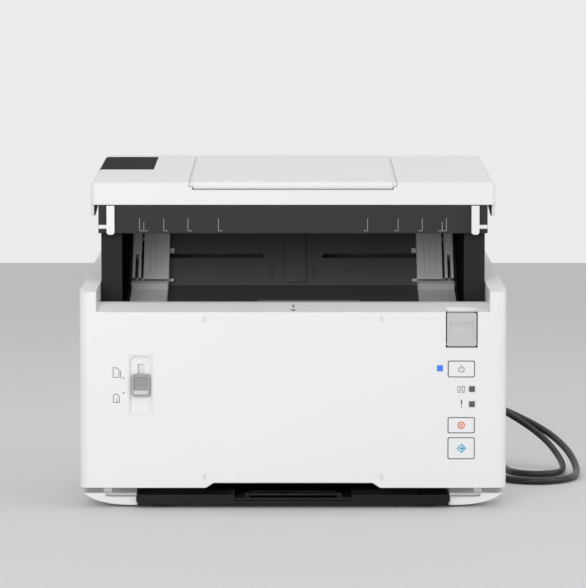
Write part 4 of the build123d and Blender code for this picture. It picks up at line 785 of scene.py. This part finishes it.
class SCANNER_OT_lid_trim(bpy.types.Operator):
    """Size lines on the dark strip, and the rails of the lid's extension."""

    bl_idname = "scanner.lid_trim"
    bl_label = "Top cover trim"

    def execute(self, context):
        strip_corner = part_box("lid_inner")[0] / MM
        strip = front_place(strip_corner.y)
        shape = bmesh.new()
        for side in (-1, 1):
            for half, length in ((108.0, 9.0), (105.0, 6.5), (91.0, 9.0), (74.0, 9.0), (52.5, 9.0)):
                z = strip_corner.z + 1.5
                outline(shape, box_outline(side * half, z + length / 2, 0.5, length), strip, high=0.06)
                outline(shape, box_outline(side * (half - 1.6), z + 0.25, 2.2, 0.5), strip, high=0.07)
        keep_piece(shape, "size_lines", "top_cover", "print pale")
        panel = face_place((0, -55.0, 225.5), (1, 0, 0), (0, 116.0, 23.0))
        shape = bmesh.new()
        for side in (-1, 1):
            outline(shape, stroke((side * 72.0, 1.5), (side * 72.0, 104.0), 0.7), panel, high=0.18)
        keep_piece(shape, "extension_rails", "cover_extension", "lid white")
        return {"FINISHED"}


class SCANNER_OT_feeder(bpy.types.Operator):
    """Ridges of the chute, and ribs on the guides and on the pick flap."""

    bl_idname = "scanner.feeder"
    bl_label = "Feeder trim"

    def execute(self, context):
        shape = bmesh.new()
        for side in (-1, 1):
            for x in (14.6, 17.0):
                for low, top in ((4.0, 15.5), (42.0, 56.0)):
                    outline(shape, stroke((side * x, low), (side * x, top), 0.7), CHUTE_WALL, high=0.35)
        keep_piece(shape, "chute_ridges", "base", "chute dark")
        for side, body in ((-1, "left_guide"), (1, "right_guide")):
            shape = bmesh.new()
            for index in range(3):
                x = side * (91.0 + 5.0 + 4.2 * index)
                outline(shape, stroke((x, 6.0), (x, 33.0), 0.6), CHUTE_WALL, low=7.8, high=8.35)
            name = "guide_right_ribs" if side > 0 else "guide_left_ribs"
            keep_piece(shape, name, body, "guide grey")
        low, top = corners_of("pick_flap")
        flap = front_place(low.y)
        shape = bmesh.new()
        for index in range(9):
            x = low.x + 6.0 + 7.4 * index
            outline(shape, stroke((x, low.z + 0.8), (x, top.z - 1.2), 0.6), flap, high=0.25)
        keep_piece(shape, "flap_ribs", "scanner_cover", "flap grey")
        return {"FINISHED"}


class SCANNER_OT_glasses(bpy.types.Operator):
    """Clear faces of the two image sensors."""

    bl_idname = "scanner.glasses"
    bl_label = "Sensor glasses"

    def execute(self, context):
        for node, body, end, across in (("rear_sensor", "base", 0, 1),
                                        ("front_sensor", "scanner_cover", 1, -1)):
            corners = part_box(node)
            low, top = (v / MM for v in corners)
            face = face_place((0, corners[end].y / MM, (low.z + top.z) / 2), (across, 0, 0), (0, 0, 1))
            shape = bmesh.new()
            outline(shape, round_outline(0, 0, top.x - low.x - 4.0, 12.0, 1.0), face, high=0.04)
            keep_piece(shape, node + "_face", body, "glass")
        return {"FINISHED"}


class SCANNER_OT_rollers(bpy.types.Operator):
    """Raised rubber rings on the pick roller and the separation roller."""

    bl_idname = "scanner.rollers"
    bl_label = "Roller rings"

    def execute(self, context):
        for node, body, name in (("pick_roller", "pick", "pick_rings"),
                                 ("separation_roller", "separation", "separation_rings")):
            low, top = corners_of(node)
            centre = (low + top) / 2
            radius = (top.z - low.z) / 2
            shape = bmesh.new()
            for index in range(7):
                x = low.x + 4.0 + (top.x - low.x - 8.0) * index / 6
                add_ring(shape, (x, centre.y, centre.z), (1, 0, 0),
                         [(radius - 0.3, -1.2), (radius + 0.12, -0.9), (radius + 0.12, 0.9),
                          (radius - 0.3, 1.2)], ROLLER_STEPS)
            keep_piece(shape, name, body, "roller rubber")
        return {"FINISHED"}


class SCANNER_OT_electronics(bpy.types.Operator):
    """Chips, capacitors, connectors and chip leads of the main board."""

    bl_idname = "scanner.electronics"
    bl_label = "Board parts"

    def execute(self, context):
        face_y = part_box("main_board")[1].y / MM - 1.6
        shape = bmesh.new()
        for x, z, width, height in ((-52, 40, 14, 10), (-20, 34, 9, 9), (4, 96, 12, 7), (48, 94, 16, 8),
                                    (62, 52, 10, 10), (86, 34, 8, 5), (26, 36, 7, 5), (108, 98, 9, 7)):
            add_block(shape, (x - width / 2, face_y - 1.5, z - height / 2),
                      (x + width / 2, face_y + 0.1, z + height / 2), 0.25)
        keep_piece(shape, "board_chips", "base", "chip black")
        shape = bmesh.new()
        for x, z in ((-60, 70), (-60, 56), (70, 80), (84, 80), (98, 46)):
            add_rod(shape, (x, face_y - 4.2, z), (0, 1, 0), 3.4, 8.4, bevel=0.4)
        keep_piece(shape, "board_capacitors", "base", "frame steel")
        shape = bmesh.new()
        for x, z, pins in ((-30, 104, 8), (30, 106, 6), (76, 104, 5)):
            add_block(shape, (x - pins * 1.3, face_y - 5.0, z - 2.6),
                      (x + pins * 1.3, face_y + 0.1, z + 2.6), 0.3)
        keep_piece(shape, "board_connectors", "base", "gear acetal")
        shape = bmesh.new()
        for x, z in ((-52, 40), (-20, 34), (62, 52)):
            for index in range(5):
                for side in (-1, 1):
                    add_block(shape, (x - 4 + 2 * index - 0.3, face_y - 0.6, z + side * 6.2 - 0.9),
                              (x - 4 + 2 * index + 0.3, face_y + 0.05, z + side * 6.2 + 0.9))
        keep_piece(shape, "board_leads", "base", "frame steel")
        return {"FINISHED"}


class SCANNER_OT_motor(bpy.types.Operator):
    """End cap and terminals of the drive motor."""

    bl_idname = "scanner.motor"
    bl_label = "Motor parts"

    def execute(self, context):
        low, top = corners_of("drive_motor")
        centre = (low + top) / 2
        shape = bmesh.new()
        add_ring(shape, (low.x, centre.y, centre.z), (1, 0, 0),
                 [(2.2, -0.9), (6.6, -0.9), (7.4, -0.3), (7.4, 0.3), (2.2, 0.3)], ROLLER_STEPS)
        keep_piece(shape, "motor_cap", "base", "gear acetal")
        shape = bmesh.new()
        for side in (-1, 1):
            add_block(shape, (low.x - 3.0, centre.y - 0.4, centre.z + side * 4.6 - 1.1),
                      (low.x - 0.4, centre.y + 0.4, centre.z + side * 4.6 + 1.1), 0.15)
        keep_piece(shape, "motor_terminals", "base", "copper")
        return {"FINISHED"}


class SCANNER_OT_fasteners(bpy.types.Operator):
    """Recessed heads over the four screws of the rear cover."""

    bl_idname = "scanner.fasteners"
    bl_label = "Screw heads"

    def execute(self, context):
        head_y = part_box("screws")[1].y / MM
        shape = bmesh.new()
        for x in (-124.0, 124.0):
            for z in (28.0, 156.0):
                add_ring(shape, (x, head_y, z), (0, 1, 0),
                         [(0.9, -0.3), (2.5, -0.3), (2.5, 0.0), (2.1, 0.22), (0.9, 0.28)], 32)
                for step in range(4):
                    angle = math.radians(45 + 90 * step)
                    spot = (x + 1.25 * math.cos(angle), head_y + 0.02, z + 1.25 * math.sin(angle))
                    add_rod(shape, spot, (0, 1, 0), 0.62, 0.5, segments=12)
        keep_piece(shape, "screw_heads", "base", "screw steel")
        return {"FINISHED"}


class SCANNER_OT_lead_parts(bpy.types.Operator):
    """Ribs of the strain reliefs and the ties that hold the two coils."""

    bl_idname = "scanner.lead_parts"
    bl_label = "Lead parts"

    def execute(self, context):
        for name, x, start, radius, slim in (("power_relief_ribs", 95.0, 103.0, 4.15, 2.95),
                                             ("usb_relief_ribs", 115.0, 105.0, 3.95, 2.7)):
            shape = bmesh.new()
            for index in range(6):
                along = start + 2.9 * index
                share = 2.9 * index / 20.0
                reach = radius + (slim - radius) * share
                add_ring(shape, (x, along, 72.0), (0, 1, 0),
                         [(reach - 0.5, -0.9), (reach + 0.3, -0.55), (reach + 0.3, 0.55),
                          (reach - 0.5, 0.9)], 28)
            keep_piece(shape, name, "base", "plug black")
        for name, centre, angles, inner, outer, high in (
                ("power_coil_ties", (30.0, 150.0), (35.0, 205.0), 19.0, 43.0, 12.2),
                ("usb_coil_ties", (128.0, 165.0), (75.0, 200.0), 18.0, 39.2, 11.2)):
            shape = bmesh.new()
            for angle in angles:
                turn = math.radians(angle)
                place = face_place((*centre, 0), (math.cos(turn), math.sin(turn), 0), (0, 0, 1))
                band = round_outline((inner + outer) / 2, high / 2 + 0.15, outer - inner, high, 3.0)
                frame_line(shape, band, 0.8, place, low=-2.5, high=2.5)
            keep_piece(shape, name, "base", "tie black")
        return {"FINISHED"}


class SCANNER_OT_tray_trim(bpy.types.Operator):
    """Two grip lines on the output tray's front edge."""

    bl_idname = "scanner.tray_trim"
    bl_label = "Tray trim"

    def execute(self, context):
        low, top = corners_of("output_tray")
        face = front_place(low.y)
        shape = bmesh.new()
        for side in (-1, 1):
            outline(shape, round_outline(side * 74.0, (low.z + top.z) / 2, 56.0, 1.0, 0.45), face, high=0.3)
        keep_piece(shape, "tray_grip_lines", "tray", "tray gloss")
        return {"FINISHED"}


class SCANNER_PT_panel(bpy.types.Panel):
    """The scanner's sizes, colours and building steps."""

    bl_idname = "SCANNER_PT_panel"
    bl_label = "Document scanner"
    bl_space_type = "VIEW_3D"
    bl_region_type = "UI"
    bl_category = "Scanner"

    def draw(self, context):
        scene = context.scene
        for group in (scene.scanner_sizes, scene.scanner_colours, scene.scanner_stage):
            box = self.layout.box()
            for key in group.bl_rna.properties.keys():
                if key not in ("rna_type", "name"):
                    box.prop(group, key)
        column = self.layout.column()
        for operator in STEPS:
            column.operator(operator.bl_idname)


STEPS = (SCANNER_OT_stage, SCANNER_OT_leads, SCANNER_OT_finishes, SCANNER_OT_keys, SCANNER_OT_indicators,
         SCANNER_OT_switch, SCANNER_OT_front_trim, SCANNER_OT_lid_trim, SCANNER_OT_feeder,
         SCANNER_OT_glasses, SCANNER_OT_rollers, SCANNER_OT_electronics, SCANNER_OT_motor,
         SCANNER_OT_fasteners, SCANNER_OT_lead_parts, SCANNER_OT_tray_trim)
CLASSES = (ScannerColours, ScannerSizes, ScannerStage) + STEPS + (SCANNER_PT_panel,)


def register():
    """Adds the property groups, operators and panel."""
    for item in CLASSES:
        bpy.utils.register_class(item)
    bpy.types.Scene.scanner_colours = bpy.props.PointerProperty(type=ScannerColours)
    bpy.types.Scene.scanner_sizes = bpy.props.PointerProperty(type=ScannerSizes)
    bpy.types.Scene.scanner_stage = bpy.props.PointerProperty(type=ScannerStage)


def unregister():
    """Takes them away again."""
    del bpy.types.Scene.scanner_stage
    del bpy.types.Scene.scanner_sizes
    del bpy.types.Scene.scanner_colours
    for item in reversed(CLASSES):
        bpy.utils.unregister_class(item)


def main():
    """Builds the whole scene."""
    register()
    bpy.ops.scanner.stage()
    bpy.ops.scanner.leads()
    bpy.ops.scanner.finishes()
    bpy.ops.scanner.keys()
    bpy.ops.scanner.indicators()
    bpy.ops.scanner.switch()
    bpy.ops.scanner.front_trim()
    bpy.ops.scanner.lid_trim()
    bpy.ops.scanner.feeder()
    bpy.ops.scanner.glasses()
    bpy.ops.scanner.rollers()
    bpy.ops.scanner.electronics()
    bpy.ops.scanner.motor()
    bpy.ops.scanner.fasteners()
    bpy.ops.scanner.lead_parts()
    bpy.ops.scanner.tray_trim()


if __name__ == "__main__":
    main()
